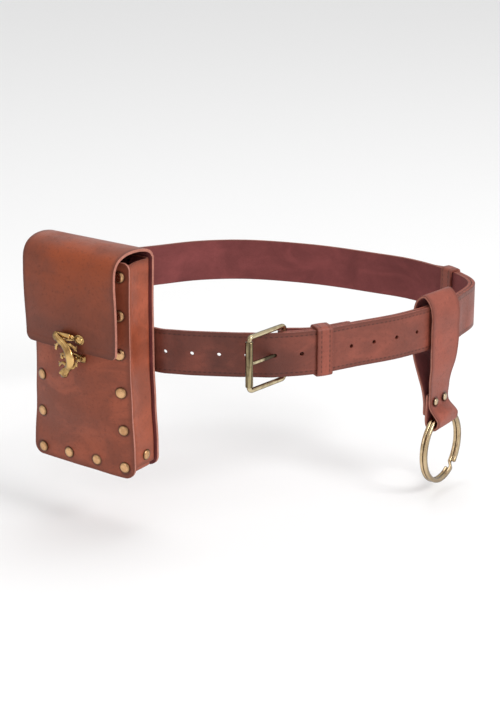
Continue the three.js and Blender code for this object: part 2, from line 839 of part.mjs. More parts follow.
function pouch() {
  const group = new THREE.Group();
  const seat = beltGroup(-pouchAt);
  group.position.y = -(beltThick / 2 + pouchStandOff);
  seat.add(group);

  const layers = pouchLeather + seatGap + gussetThick;
  const frontRivets = rivetPlaces().map((place) => ({
    ...place,
    matrix: moved(place.x, frontOut(place.x, place.up) + middle, place.up, frontTurn(place.x, place.up)),
  }));
  const backRivets = rivetPlaces().map((place) => ({
    ...place,
    matrix: moved(place.x, 0, place.up, Math.PI),
  }));
  const loopRivets = [-1, 1].flatMap((high) => [-1, 1].map((hand) => ({
    name: `${high < 0 ? "low" : "high"}_${hand < 0 ? "left" : "right"}`,
    matrix: moved(hand * (loopWidth / 2 - rivetInset), -loopThick - gap, high * loopRivetAt, Math.PI),
  })));
  const punches = (rivets, deep) =>
    rivets.map(({ matrix }) => punch(matrix, rivetPost + gap, -1, deep + 1));

  const sideOut = (pouchDepth + pouchLeather) * 0.42;
  const sideUp = gussetBottom + 8;
  const sideRivets = [-1, 1].map((hand) => ({
    name: hand < 0 ? "left" : "right",
    matrix: moved(hand * (halfWidthAt(sideUp) - gussetInset), sideOut, sideUp, (hand * Math.PI) / 2),
  }));

  const claspPlace = claspPoints();
  const frontHoles = [...punches(frontRivets, layers), ...claspPlace.catchHoles];
  const backHoles = [...punches(backRivets, layers), ...punches(loopRivets, layers), ...claspPlace.flapHoles];
  add(group, "pouch_front", cut(sheet(frontPanel(), pouchLeather), frontHoles), leatherOut);
  add(group, "pouch_back_flap", cut(sheet(backAndFlap(), pouchLeather), backHoles), leatherOut);
  const all = [...punches(frontRivets, layers), ...punches(backRivets, layers), ...punches(sideRivets, layers)];
  add(group, "gusset_left", cut(sheet(gussetSide(-1), gussetThick), all), leatherOut);
  add(group, "gusset_right", cut(sheet(gussetSide(1), gussetThick), all), leatherOut);
  add(group, "gusset_bottom", cut(gussetBottomPiece(), all), leatherOut);
  const loopHoles = punches(loopRivets, loopThick + gap);
  add(group, "pouch_belt_loop", cut(sheet(beltLoopGrid(), loopThick), loopHoles), leatherOut);

  for (const { name, matrix } of frontRivets)
    rivet(group, `rivet_front_${name}`, matrix, rivetRadius, rivetDome, layers);
  for (const { name, matrix } of backRivets)
    rivet(group, `rivet_back_${name}`, matrix, rivetRadius, flatHeadHeight, layers);
  for (const { name, matrix } of sideRivets)
    rivet(group, `rivet_side_${name}`, matrix, rivetRadius, rivetDome, 2 * gussetThick + gap);
  for (const { name, matrix } of loopRivets)
    rivet(group, `rivet_loop_${name}`, matrix, rivetRadius * 0.9, flatHeadHeight, loopThick + gap + pouchLeather);
  clasp(group);
}

// Clasp

const flapFace = 0.99 * (flapReach - middle) + middle; // of the flap where the clasp sits
const pinOut = flapFace + claspPinOut;

function claspPoints() {
  const post = rivetPost * 0.8;
  const flapHoles = [-1, 1].map((hand) =>
    punch(moved(claspDrop + hand * claspEarSpan, flapFace, claspPinUp - 3), post + gap, -4, pouchLeather + 3));
  const catchHoles = [-1, 1].map((hand) => {
    const x = claspDrop + hand * (catchHalfWidth - 3);
    return punch(moved(x, frontOut(x, catchUp) + middle, catchUp), post + gap, -4, pouchLeather + 3);
  });
  return { flapHoles, catchHoles };
}

function ball(radius, x, out, up, flat = 1) {
  const round = new THREE.SphereGeometry(radius, 8, 5);
  return round.scale(1, flat, 1).translate(x, -out, up);
}

function peg(radius, x, outFrom, outTo, up, sides = 8) {
  const length = outTo - outFrom;
  return new THREE.CylinderGeometry(radius, radius, length, sides).translate(x, -(outFrom + length / 2), up);
}

function acrossBar(radius, from, to, out, up, sides = 10) {
  const length = to - from;
  return new THREE.CylinderGeometry(radius, radius, length, sides)
    .rotateZ(Math.PI / 2)
    .translate((from + to) / 2, -out, up);
}

function claspPlate() {
  const back = flapFace + gap;
  const up = claspPinUp - 3;
  const half = claspArmWidth / 2 + gap;
  const ears = [-1, 1].map((hand) => ball(4.2, claspDrop + hand * claspEarSpan, back, up - 1, 0.8));
  const behind = new THREE.BoxGeometry(60, 10, 30).translate(claspDrop, 5 - back, up);
  const pieces = [
    cut(join([
      new THREE.BoxGeometry(2 * claspEarSpan, 2 * claspPlateThick, 6).translate(claspDrop, -back, up),
      ...ears,
    ]), [behind]),
  ];
  for (const hand of [-1, 1]) {
    const x = claspDrop + hand * claspEarSpan;
    pieces.push(peg(rivetPost * 0.8, x, flapFace - pouchLeather - gap, back + 1, up, 6));
    const lug = new THREE.BoxGeometry(lugThick, claspPinOut + 1.8, 5.2);
    lug.translate(claspDrop + hand * (half + lugThick / 2), -(back + claspPinOut / 2 + 0.9), claspPinUp - 0.4);
    pieces.push(lug);
  }
  const room = acrossBar(claspBarrel + gap, claspDrop - half, claspDrop + half, pinOut, claspPinUp, 12);
  const bore = acrossBar(claspPinRadius + gap, claspDrop - 12, claspDrop + 12, pinOut, claspPinUp, 8);
  return cut(join(pieces), [room, bore]);
}

// The pin runs through both lugs and the arm's barrel, with a head outside each lug.
function claspPin() {
  const half = claspArmWidth / 2 + 2 * gap + lugThick;
  return join([
    acrossBar(claspPinRadius, claspDrop - half - 0.5, claspDrop + half + 0.5, pinOut, claspPinUp, 8),
    ...[-1, 1].map((hand) => {
      const ends = [half, half + 1.2].map((x) => claspDrop + hand * x).sort((a, b) => a - b);
      return acrossBar(claspPinRadius * 1.6, ends[0], ends[1], pinOut, claspPinUp, 8);
    }),
  ]);
}

function claspPoint({ side, down, out = 0 }) {
  return new THREE.Vector3(
    claspDrop + side * claspLength,
    -(pinOut + 1 + out * claspLength),
    claspPinUp - down * claspLength,
  );
}

function claspArm() {
  const spine = lizardSpine.map((row) => ({ point: claspPoint(row), radius: row.thick }));
  const half = claspArmWidth / 2;
  const pieces = [
    bar(spine, 7),
    acrossBar(claspBarrel, claspDrop - half, claspDrop + half, pinOut, claspPinUp, 12),
  ];
  for (const { hip, knee, foot } of lizardLegs)
    pieces.push(bar([
      { point: claspPoint(hip), radius: legThick * 1.2 },
      { point: claspPoint(knee), radius: legThick },
      { point: claspPoint(foot), radius: legThick * 1.3 },
    ], 5));
  const head = lizardSpine[5];
  for (const side of [-0.05, 0.05]) {
    const eye = claspPoint({ side: head.side + side, down: head.down - 0.02, out: 0.07 });
    pieces.push(ball(1, eye.x, -eye.y, eye.z));
  }
  const bore = acrossBar(claspPinRadius + gap, claspDrop - half - 2, claspDrop + half + 2, pinOut, claspPinUp, 10);
  return cut(join(pieces), [bore]);
}

function claspCatch() {
  const up = catchUp;
  const face = frontOut(claspDrop, up) + middle + gap;
  const pieces = [
    new THREE.BoxGeometry(2 * catchHalfWidth, claspPlateThick, 2 * catchHalfHeight)
      .translate(claspDrop, -(face + claspPlateThick / 2), up),
  ];
  const armBack = pinOut + 1 - 3 - gap;
  pieces.push(peg(2.4, claspDrop + 2, face, armBack - 1, up));
  for (const hand of [-1, 1]) {
    const x = claspDrop + hand * (catchHalfWidth - 3);
    pieces.push(ball(3, x, face + claspPlateThick, up, 0.6));
    pieces.push(peg(rivetPost * 0.8, x, frontOut(x, up) - middle - gap, face + 1, up));
  }
  return join(pieces);
}

function clasp(group) {
  add(group, "clasp_plate", claspPlate(), brass);
  add(group, "clasp_pin", claspPin(), brass);
  add(group, "clasp_arm", claspArm(), brass);
  add(group, "clasp_catch", claspCatch(), brass);
}

// Hanger and ring

const hangerLayer = hangerLeather + gap;
const hangerFrontOut = layerStep + beltThick / 2 + hangerSlack + hangerLeather / 2;
const hangerBackOut = hangerFrontOut - hangerDepth;
const hangerClampOut = hangerFrontOut - hangerPull; // of the front layer at the rivets
const ringHalfAxial = ringAxial + gap / 2;
const ringWalls = ringHalfAxial + ringPlay + hangerLeather / 2; // of the fold's middle surface
const ringOut = hangerClampOut - hangerLayer + ringWalls;
const foldUp = -hangerDrop + hangerLeather / 2 + ringWalls; // of the fold's round centre

function hangerTwistAt(up) {
  return hangerTwist * DEG * ease((-up - beltWidth / 2) / (hangerDrop * 0.6));
}

function hangerLeanAt(up) {
  return hangerLean * ease((-up - beltWidth / 2) / (hangerDrop * 0.6));
}

// The strap's path from its cut back end, over the belt, round the ring and up to its other end.
// The fold stays open over the ring up to a height above its round centre.
function hangerLine(openTo) {
  const lerp = THREE.MathUtils.lerp;
  const backClamp = hangerClampOut - 2 * hangerLayer;
  const knots = [
    ...hangerBack.map(({ open, drop, wide }) => ({
      out: lerp(backClamp, hangerBackOut, open), up: -drop * hangerDrop, wide,
    })),
    ...hangerOver.map(({ open, rise }) => ({
      out: lerp(hangerFrontOut, hangerBackOut, open), up: rise * (hangerArch - hangerLeather / 2), wide: 1,
    })),
    ...hangerFront.map(({ open, drop, wide }) => ({
      out: lerp(hangerClampOut, hangerFrontOut, open), up: -drop * hangerDrop, wide,
    })),
    { out: ringOut + ringWalls, up: foldUp + openTo, wide: foldWide },
  ];
  for (const angle of [0, 30, 60, 90, 120, 150, 180])
    knots.push({
      out: ringOut + ringWalls * Math.cos(angle * DEG),
      up: foldUp - ringWalls * Math.sin(angle * DEG),
      wide: foldWide,
    });
  knots.push({ out: hangerClampOut - hangerLayer, up: -hangerRivetDrop - 5, wide: foldWide });
  knots.push({ out: hangerClampOut - hangerLayer, up: -hangerRivetDrop + 8, wide: 0.9 });
  const curve = new THREE.CatmullRomCurve3(
    knots.map((knot) => new THREE.Vector3(knot.wide * hangerHalfWidth, knot.out, knot.up)),
    false,
    "centripetal",
  );
  return curve.getSpacedPoints(hangerSteps);
}

// A point of the hanger, turned about the vertical through the ring by the strap's twist.
function hangerPoint(x, out, up) {
  const pivot = new THREE.Vector3(0, -ringOut, 0);
  return new THREE.Vector3(x + hangerLeanAt(up), -out, up)
    .sub(pivot)
    .applyAxisAngle(new THREE.Vector3(0, 0, 1), hangerTwistAt(up))
    .add(pivot);
}

// The strap's middle stays open further over the ring than its edges do.
function hangerGrid() {
  const edge = hangerLine(foldOpenEdge);
  const centre = hangerLine(foldOpenCentre);
  return edge.map((point, i) =>
    spread(-1, 1, 4).map((v) => {
      const at = point.clone().lerp(centre[i], 1 - v * v);
      return hangerPoint(v * at.x, at.y, at.z);
    }));
}

// One turn and most of another of flat wire, which crosses from one to the other.
function splitRing() {
  const sweep = 720 - ringCrossing;
  const offset = (ringAxial + gap) / 2;
  const rings = spread(0, sweep, ringSteps).map((turned) => {
    const angle = (ringSplitAt + ringCrossing / 2 + turned) * DEG;
    const shift = 2 * ease((turned - (sweep - ringCrossing) / 2) / ringCrossing) - 1;
    return Array.from({ length: ringSides }, (_, k) => {
      const around = (k * 2 * Math.PI) / ringSides;
      const radius = ringRadius + (ringRadial / 2) * Math.cos(around);
      return new THREE.Vector3(
        radius * Math.cos(angle),
        shift * offset + (ringAxial / 2) * Math.sin(around),
        radius * Math.sin(angle),
      );
    });
  });
  return loft(rings);
}

function hanger() {
  const group = beltGroup(hangerAt);
  const face = hangerClampOut + hangerLeather / 2;
  const deep = 2 * hangerLayer + hangerLeather;
  const rivets = [-1, 1].map((hand) => {
    const point = hangerPoint(hand * hangerRivetX, face, -hangerRivetDrop);
    return {
      name: hand < 0 ? "left" : "right",
      matrix: moved(point.x, -point.y, point.z, hangerTwistAt(-hangerRivetDrop)),
    };
  });
  const holes = rivets.map(({ matrix }) => punch(matrix, rivetPost + gap, -2, deep + 2));
  add(group, "hanger_strap", cut(sheet(hangerGrid(), hangerLeather), holes), leatherOut);
  for (const { name, matrix } of rivets)
    rivet(group, `hanger_rivet_${name}`, matrix, hangerRivetRadius, rivetDome * 0.8, deep + gap);

  const hang = new THREE.Group();
  hang.position.set(0, -ringOut, 0);
  hang.rotation.z = hangerTwistAt(-hangerDrop);
  group.add(hang);
  const ring = add(hang, "ring", splitRing(), brass);
  ring.position.x = hangerLean;
  const inner = ringRadius - ringRadial / 2;
  const halfFold = hangerHalfWidth * foldWide;
  const sag = inner - Math.sqrt(inner ** 2 - halfFold ** 2);
  ring.position.z = foldUp - ringWalls + hangerLeather / 2 + ringLift + sag - inner;
}

beltStrap();
buckle();
keepers();
pouch();
hanger();

export default model;
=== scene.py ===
"""Looks of the belt, its riveted flap pouch and its ring hanger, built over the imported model."""
import math

import bpy
import numpy as np
from bpy.props import FloatProperty, FloatVectorProperty, PointerProperty
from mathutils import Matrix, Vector


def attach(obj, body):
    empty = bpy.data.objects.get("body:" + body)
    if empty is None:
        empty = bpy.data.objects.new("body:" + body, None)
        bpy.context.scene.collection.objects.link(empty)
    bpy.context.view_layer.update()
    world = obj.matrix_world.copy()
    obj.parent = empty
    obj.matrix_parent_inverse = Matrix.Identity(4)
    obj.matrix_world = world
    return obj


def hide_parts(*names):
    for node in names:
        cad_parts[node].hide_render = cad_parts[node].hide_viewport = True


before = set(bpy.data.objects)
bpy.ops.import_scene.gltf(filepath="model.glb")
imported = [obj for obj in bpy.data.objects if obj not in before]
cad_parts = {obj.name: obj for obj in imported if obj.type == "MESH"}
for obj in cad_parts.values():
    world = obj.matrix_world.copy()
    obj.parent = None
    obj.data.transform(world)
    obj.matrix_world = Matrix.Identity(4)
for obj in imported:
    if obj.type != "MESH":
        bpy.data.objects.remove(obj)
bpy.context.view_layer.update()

bl_info = {
    "name": "Belt and pouch",
    "version": (1, 0, 0),
    "blender": (4, 5, 0),
    "location": "View3D > Sidebar > Belt and pouch",
    "description": "Builds a belt with a roller buckle, a riveted flap pouch and a ring hanger",
    "category": "Object",
}

MM = 0.001
BASE = "belt_set"
FAR = 99.0

# Stage, in metres: the floor, the lamps with their width and setting, and the photograph's camera
FLOOR_UP, FLOOR_REACH, FLOOR_GREY, FLOOR_ROUGH = -0.156, 9.0, 0.86, 0.7
LAMPS = [("key lamp", (1.7, -1.3, 1.3), 1.0, "key_light"),
         ("fill lamp", (-1.5, -1.7, 1.1), 1.2, "fill_light"),
         ("top lamp", (0.1, 0.3, 2.0), 1.4, "top_light")]
CAMERA_AT, CAMERA_TILT = (0, -1.7659, 0.5644), math.radians(70.83)
CAMERA_LENS, CAMERA_SENSOR, CAMERA_FAR = 151.2, 36, 20

# Sizes in millimetres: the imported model's, but for smaller holes, nearer ears and a shorter ring crossing
GAP = 0.3
LOOP_HALF_LENGTH, LOOP_HALF_DEPTH = 196.0, 138.0
BELT_WIDTH, BELT_THICK = 38.0, 3.0
TAIL_LENGTH, FOLD_LENGTH = 300.0, 62.0
HEEL_FROM_MIDDLE = 29.0
HOLE_SPACING, HOLE_RADIUS = 22.5, 1.65
HOLES_BEFORE, HOLES_AFTER = 4, 7
LAYER_BLEND, OVERLAP_BEFORE = 26, 34
WIRE_RADIUS = 2.0
FRAME_LENGTH, FRAME_HEIGHT, FRAME_CORNER = 43.0, 46.0, 3.2
FRAME_LEAN = math.radians(37)
ROLLER_RADIUS, ROLLER_LENGTH = 3.2, 39.0
KEEPER_WIDTH, KEEPER_THICK = 14.0, 2.0
KEEPER_FRONT_AT, KEEPER_BACK_AT = 32.0, 263.0
SLIDE = 0.7
POUCH_AT, POUCH_HALF, POUCH_TOP, POUCH_BOTTOM = 157.0, 49.0, 83.0, -101.5
POUCH_DEPTH, LEATHER, STAND_OFF = 34.0, 2.5, 1.6
FRONT_CROWN, PANEL_CORNER, BOTTOM_FLARE = 9.0, 9.0, 3.0
FLAP_REACH, FLAP_TOP, FLAP_BOTTOM, FLAP_CORNER, FLAP_SKEW = 50.0, 92.3, 5.0, 6.0, 2.5
GUSSET_THICK, GUSSET_INSET, GUSSET_FLANGE, GUSSET_BEND = 2.0, 1.5, 19.0, 2.6
GUSSET_BOTTOM, GUSSET_BELOW_TOP, SEAT_GAP, TAB_HEIGHT = -95.0, 2.5, 0.9, 15.0
RIVET_RADIUS, RIVET_DOME, RIVET_INSET, RIVET_RISE = 4.75, 2.4, 7.5, 33.0
LOWEST_RIVET, BOTTOM_ROW_RISE = -94.0, 1.5
SIDE_RIVETS, RIVET_SHIFT, CORNER_RIVET_SHIFT = 6, 0.6, 1.6
RIVET_SCALING, RIVET_TILT = 0.035, 0.05
CORNER_SPREAD, CORNER_DIP = 2.3, 2.2
EDGE_ROUND, BAND_ROUND, GUSSET_ROUND, TAB_ROUND = 0.6, 0.5, 0.4, 0.3
LOOP_WIDTH, LOOP_REACH, LOOP_THICK, LOOP_RIVET_AT = 52.0, 36.0, 2.2, 29.0
HANGER_AT, HANGER_HALF, HANGER_LEATHER, HANGER_DEPTH = 157.0, 18.0, 2.5, 20.3
HANGER_ARCH, HANGER_SLACK, HANGER_PULL, HANGER_DROP = 28.0, 2.7, 6.4, 94.5
HANGER_TWIST, HANGER_LEAN, FOLD_WIDE = math.radians(9), 4.0, 0.98
FOLD_EDGE, FOLD_CENTRE = 2.2, 6.8
HANGER_RIVET_X, HANGER_RIVET_DROP, HANGER_RIVET_RADIUS = 8.0, 70.5, 3.8
RING_RADIUS, RING_RADIAL, RING_AXIAL, RING_PLAY, RING_LIFT = 30.8, 4.2, 3.1, 1.3, 1.3
RING_CROSSING, RING_SPLIT_AT = 13.0, -52.0
CLASP_ACROSS, PIN_UP, PIN_OUT, PIN_RADIUS = -1.0, 18.5, 4.3, 1.1
BARREL, ARM_WIDTH, EAR_AT, CLASP_LENGTH = 2.5, 11.0, 11.6, 36.0
CATCH_UP, CATCH_HALF = -3.0, 12.0
CATCH_BALL_AT, CATCH_POST_AT = 9, 2

# Counts of the grids' columns, of the cells round a hole, and of the sides of tubes and drums
STRAP_COLUMNS, CELLS_PER_HOLE, HOLE_HALF_CELLS, PRONG_ROWS, BEND_ROWS = 27, 15, 4, 7, 15
PANEL_COLUMNS, FLAP_COLUMNS, HANGER_ROWS, HANGER_COLUMNS, TAB_ROWS = 65, 61, 240, 29, 9
WIRE_SIDES, ROLLER_SIDES, PRONG_SIDES, RING_SIDES = 24, 48, 20, 20

# Powers that square off the round sections of the wire, the prong and the ring
WIRE_SQUARE, PRONG_SQUARE, RING_SQUARE = 0.85, 0.6, 0.62

# The cast pieces: size of the skin's cells, rounds of smoothing, and the depth that counts as a full hollow
CAST_CELL, CAST_ROUNDS, HOLLOW_DEPTH, HOLLOW_ROUNDS = 0.34, 4, 0.18, 12

LAYER = BELT_THICK + GAP
BEND_RADIUS = WIRE_RADIUS + GAP + BELT_THICK / 2
PRONG_HOLE_AT = -(BEND_RADIUS + LAYER) / math.tan(FRAME_LEAN)
MIDDLE = LEATHER / 2
POUCH_HEIGHT = POUCH_TOP - POUCH_BOTTOM
FLAP_FACE = 0.99 * (FLAP_REACH - MIDDLE) + MIDDLE
CLASP_OUT = FLAP_FACE + PIN_OUT

# Places along a piece and the shares or millimetres that hold there
TAIL_TAPER = ([0, 6, 14, 26], [0.42, 0.72, 0.93, 1])
FOLD_TAPER = ([0, 3], [0.97, 1])
HANGER_ENDS = ([0, 1.5, 4], [0.93, 0.98, 1])
RING_ENDS = ([0, 0.4, 1.2], [0.55, 0.86, 1.0])
PRONG_WIDE = ([0, 0.3, 0.4, 0.9, 0.985, 1], [1.95, 1.95, 1.5, 1.4, 1.25, 0.7])
PRONG_THICK = ([0, 0.3, 0.42, 0.9, 0.985, 1], [0.66, 0.66, 1.25, 1.15, 0.9, 0.4])
# Painted shadow along the prong: dark over most of it, light in a patch near the tip
PRONG_SHADE = ([0, 0.5, 0.72, 0.8, 0.93, 1], [0.75, 0.9, 0.85, 0.05, 0.05, 0.5])

# How far each ring of points round a hole has come from its square to its circle
HOLE_RINGS = (0.45, 0.78, 0.92, 1.0)

# The belt's loop seen from above, as shares of half its length and of half its depth
LOOP_KNOTS = np.array([
    (0, -0.993), (0.255, -0.924), (0.458, -0.77), (0.635, -0.622), (0.825, -0.378), (0.925, -0.189),
    (0.987, 0.022), (0.939, 0.232), (0.755, 0.545), (0.572, 0.701), (0.292, 0.898), (0, 1),
    (-0.238, 0.972), (-0.431, 0.875), (-0.714, 0.703), (-0.918, 0.413), (-1, 0.02), (-0.944, -0.27),
    (-0.806, -0.493), (-0.604, -0.691), (-0.402, -0.888), (-0.289, -0.948), (-0.122, -0.984),
])

# Shares of the pouch's height, of the flare and of the crown
FRONT_ROWS = np.array([(0, 1, 0.3), (0.12, 1, 0.32), (0.3, 0.45, 0.8), (0.5, 0, 1), (0.75, 0, 0.9),
                       (1, 0.3, 0.75)])

# Shares of the flap's reach and of its rise, then of its reach and of its fall
FLAP_ROWS = np.array([(0.03, 0.05), (0.12, 0.52), (0.28, 0.83), (0.5, 1), (0.73, 0.9), (0.9, 0.45),
                      (0.985, -0.3)])
FLAP_FALL = np.array([(1.015, 0.2), (1.005, 0.5), (0.99, 0.78), (0.99, 1)])

# Shares of the hanger's opening, of its drop or rise, and of its half width
HANGER_BACK = np.array([(0, 0.87, 0.92), (0, 0.74, 0.92), (0.14, 0.62, 0.92), (0.5, 0.48, 0.95),
                        (0.98, 0.28, 1), (1.02, 0.08, 1)])
HANGER_OVER = np.array([(1, 0.5), (0.8, 0.86), (0.48, 1), (0.16, 0.8), (0, 0.4)])
HANGER_FRONT = np.array([(1, 0.02, 1), (1, 0.2, 1), (0.74, 0.37, 0.97), (0.18, 0.53, 0.93), (0, 0.64, 0.91),
                         (0, 0.79, 0.91)])


# Curves and tables

def ease(t):
    """A smooth step: 3u squared less 2u cubed of the share u between 0 and 1."""
    u = np.clip(t, 0, 1)
    return u * u * (3 - 2 * u)


def spline(knots, closed=False, steps=64):
    """A smooth curve through the knots: cubics whose slopes are weighed by the roots of the lengths."""
    knots = np.asarray(knots, float)
    if closed:
        padded = np.vstack([knots[-1], knots, knots[:2]])
    else:
        padded = np.vstack([2 * knots[0] - knots[1], knots, 2 * knots[-1] - knots[-2]])
    roots = np.sqrt(np.linalg.norm(np.diff(padded, axis=0), axis=1))[:, None]
    p0, p1, p2, p3 = padded[:-3], padded[1:-2], padded[2:-1], padded[3:]
    d0, d1, d2 = roots[:-2], roots[1:-1], roots[2:]
    m1 = ((p1 - p0) / d0 - (p2 - p0) / (d0 + d1) + (p2 - p1) / d1) * d1
    m2 = ((p2 - p1) / d1 - (p3 - p1) / (d1 + d2) + (p3 - p2) / d2) * d1
    t = np.linspace(0, 1, steps, endpoint=False)[None, :, None]
    a, b, c, d = (v[:, None, :] for v in (p1, m1, -3 * p1 + 3 * p2 - 2 * m1 - m2, 2 * p1 - 2 * p2 + m1 + m2))
    points = (a + b * t + c * t * t + d * t ** 3).reshape(-1, knots.shape[1])
    return np.vstack([points, knots[:1] if closed else knots[-1:]])


def squared_off(value, power):
    """A sine or cosine raised to a power with its sign kept, which squares a circle's section."""
    return np.sign(value) * np.abs(value) ** power


def lengths(points):
    """The distance along a line of points, from its first point."""
    return np.concatenate([[0], np.cumsum(np.linalg.norm(np.diff(points, axis=0), axis=1))])


def spaced(points, count):
    """The line's points taken again at even distances."""
    run = lengths(points)
    at = np.linspace(0, run[-1], count)
    return np.stack([np.interp(at, run, points[:, k]) for k in range(points.shape[1])], axis=1)


def between(place, column):
    """A column of the front panel's table at a share of the height, eased from row to row."""
    ups = FRONT_ROWS[:, 0]
    i = np.clip(np.searchsorted(ups, place, side="left"), 1, len(ups) - 1)
    t = (place - ups[i - 1]) / (ups[i] - ups[i - 1])
    low, high = FRONT_ROWS[i - 1, column], FRONT_ROWS[i, column]
    return low + (high - low) * ease(t)


# The belt's line

LOOP = spline(LOOP_KNOTS * (LOOP_HALF_LENGTH, LOOP_HALF_DEPTH), closed=True, steps=80)
LOOP_RUN = lengths(LOOP)
LOOP_LENGTH = float(LOOP_RUN[-1])
SEATS = [(-POUCH_AT, POUCH_HALF, 16), (HANGER_AT, HANGER_HALF, 14), (KEEPER_FRONT_AT, KEEPER_WIDTH / 2, 8),
         (KEEPER_BACK_AT, KEEPER_WIDTH / 2, 8), (0, 8, 12)]


def drawn(s):
    """The loop's point at a distance from the heel bar, before it is flattened."""
    at = np.mod(np.asarray(s, float) + HEEL_FROM_MIDDLE, LOOP_LENGTH)
    return np.stack([np.interp(at, LOOP_RUN, LOOP[:, k]) for k in (0, 1)], axis=-1)


def belt_line(s):
    """The loop's point, drawn towards a straight line where a stiff piece sits on the strap."""
    s = np.asarray(s, float)
    point = drawn(s)
    for at, half, blend in SEATS:
        away = s - at - LOOP_LENGTH * np.round((s - at) / LOOP_LENGTH)
        weight = ease((half + blend - np.abs(away)) / blend)[..., None]
        start, end = drawn(at - half), drawn(at + half)
        middle = (start + end) / 4 + drawn(at) / 2
        along = (end - start) / np.linalg.norm(end - start)
        point = point * (1 - weight) + (middle + along * away[..., None]) * weight
    return point


def belt_angle(s):
    """The belt's direction at a distance along it, from the points 1 mm before and after."""
    step = belt_line(np.asarray(s, float) + 1) - belt_line(np.asarray(s, float) - 1)
    return np.arctan2(step[..., 1], step[..., 0])


def belt_point(s, out):
    """The point at a distance along the belt, moved outwards square to it."""
    angle = belt_angle(s)
    return belt_line(s) + np.stack([np.sin(angle), -np.cos(angle)], axis=-1) * np.asarray(out)[..., None]


class Seat:
    """A local frame on the belt: x along it, out away from the wearer, up."""

    def __init__(self, s, out=0.0, turn=0.0):
        """Takes a distance along the belt, how far out the origin lies, and a turn of the frame."""
        self.angle = float(belt_angle(np.array(float(s)))) + turn
        angle = self.angle - turn
        self.origin = belt_line(np.array(float(s))) + out * np.array([math.sin(angle), -math.cos(angle)])

    def place(self, x, out, up):
        """Points of the frame in the scene: the origin plus x along it and out square to it."""
        x, out, up = np.broadcast_arrays(np.asarray(x, float), np.asarray(out, float), np.asarray(up, float))
        c, s = math.cos(self.angle), math.sin(self.angle)
        return np.stack([self.origin[0] + c * x + s * out, self.origin[1] + s * x - c * out, up], axis=-1)


POUCH_SEAT = Seat(-POUCH_AT, BELT_THICK / 2 + STAND_OFF)
HANGER_SEAT = Seat(HANGER_AT)


# Meshes

def quads(rows, columns, wrap_rows=False, wrap_columns=False, flip=False):
    """The four-cornered faces of a grid of points numbered row by row."""
    i = np.arange(rows if wrap_rows else rows - 1)[:, None]
    j = np.arange(columns if wrap_columns else columns - 1)[None, :]
    i, j = np.broadcast_arrays(i, j)
    i2, j2 = (i + 1) % rows, (j + 1) % columns
    faces = np.stack([i * columns + j, i2 * columns + j, i2 * columns + j2, i * columns + j2],
                     axis=-1).reshape(-1, 4)
    return faces[:, ::-1] if flip else faces


def build(name, points, faces, materials, uv=None, fields=None, body=BASE, smooth=True):
    """An object at the origin from points in millimetres, with point attributes and a UV in millimetres."""
    mesh = bpy.data.meshes.new(name)
    if isinstance(faces, list):
        mesh.from_pydata((np.asarray(points).reshape(-1, 3) * MM).tolist(), [],
                         [list(map(int, f)) for f in faces])
    else:
        flat = np.asarray(points, float).reshape(-1, 3) * MM
        mesh.vertices.add(len(flat))
        mesh.vertices.foreach_set("co", flat.ravel())
        sides = faces.shape[1]
        mesh.loops.add(faces.size)
        mesh.loops.foreach_set("vertex_index", faces.ravel().astype(np.int32))
        mesh.polygons.add(len(faces))
        mesh.polygons.foreach_set("loop_start", np.arange(0, faces.size, sides, dtype=np.int32))
        mesh.polygons.foreach_set("loop_total", np.full(len(faces), sides, dtype=np.int32))
        mesh.update(calc_edges=True)
    for key, values in (fields or {}).items():
        layer = mesh.attributes.new(key, "FLOAT", "POINT")
        layer.data.foreach_set("value", np.asarray(values, np.float32).ravel())
    if uv is not None:
        layer = mesh.uv_layers.new(name="lay")
        loop_points = np.empty(len(mesh.loops), np.int32)
        mesh.loops.foreach_get("vertex_index", loop_points)
        layer.data.foreach_set("uv", (np.asarray(uv, float).reshape(-1, 2)[loop_points] * MM).ravel())
    mesh.polygons.foreach_set("use_smooth", np.full(len(mesh.polygons), smooth))
    mesh.validate()
    mesh.update()
    for material in materials:
        mesh.materials.append(material)
    piece = bpy.data.objects.new(name, mesh)
    bpy.context.scene.collection.objects.link(piece)
    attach(piece, body)
    return piece


def thicken(piece, thick, round_edge):
    """Gives a sheet its leather's thickness, with grain, flesh and cut edge as its three materials."""
    solid = piece.modifiers.new("thickness", "SOLIDIFY")
    solid.thickness = thick * MM
    solid.offset = 0
    solid.use_even_offset = True
    solid.use_quality_normals = True
    solid.material_offset = 1
    solid.material_offset_rim = 2
    edge = piece.modifiers.new("rounded edge", "BEVEL")
    edge.width = round_edge * MM
    edge.segments = 3
    edge.limit_method = "ANGLE"
    edge.angle_limit = math.radians(50)
    edge.material = 0
    edge.harden_normals = True


def tube_points(path, radii, sides, flat=1.0, up=(0, 0, 1)):
    """Rings of points round a path: the radius times cosine to the side and sine, flattened, across it."""
    path = np.asarray(path, float)
    along = np.gradient(path, axis=0)
    along /= np.linalg.norm(along, axis=1)[:, None]
    side = np.cross(along, np.asarray(up, float))
    side /= np.maximum(np.linalg.norm(side, axis=1)[:, None], 1e-9)
    over = np.cross(side, along)
    angle = np.linspace(0, 2 * np.pi, sides, endpoint=False)
    radii = np.asarray(radii, float).reshape(-1, 1, 1)
    return (path[:, None, :] + radii * (side[:, None, :] * np.cos(angle)[None, :, None]
                                        + flat * over[:, None, :] * np.sin(angle)[None, :, None]))


def closed_rings(count, sides):
    """The faces of a row of rings, with one flat face over each end."""
    faces = [list(f) for f in quads(count, sides, wrap_columns=True)]
    faces.append(list(range(sides)))
    faces.append([(count - 1) * sides + k for k in range(sides)][::-1])
    return faces


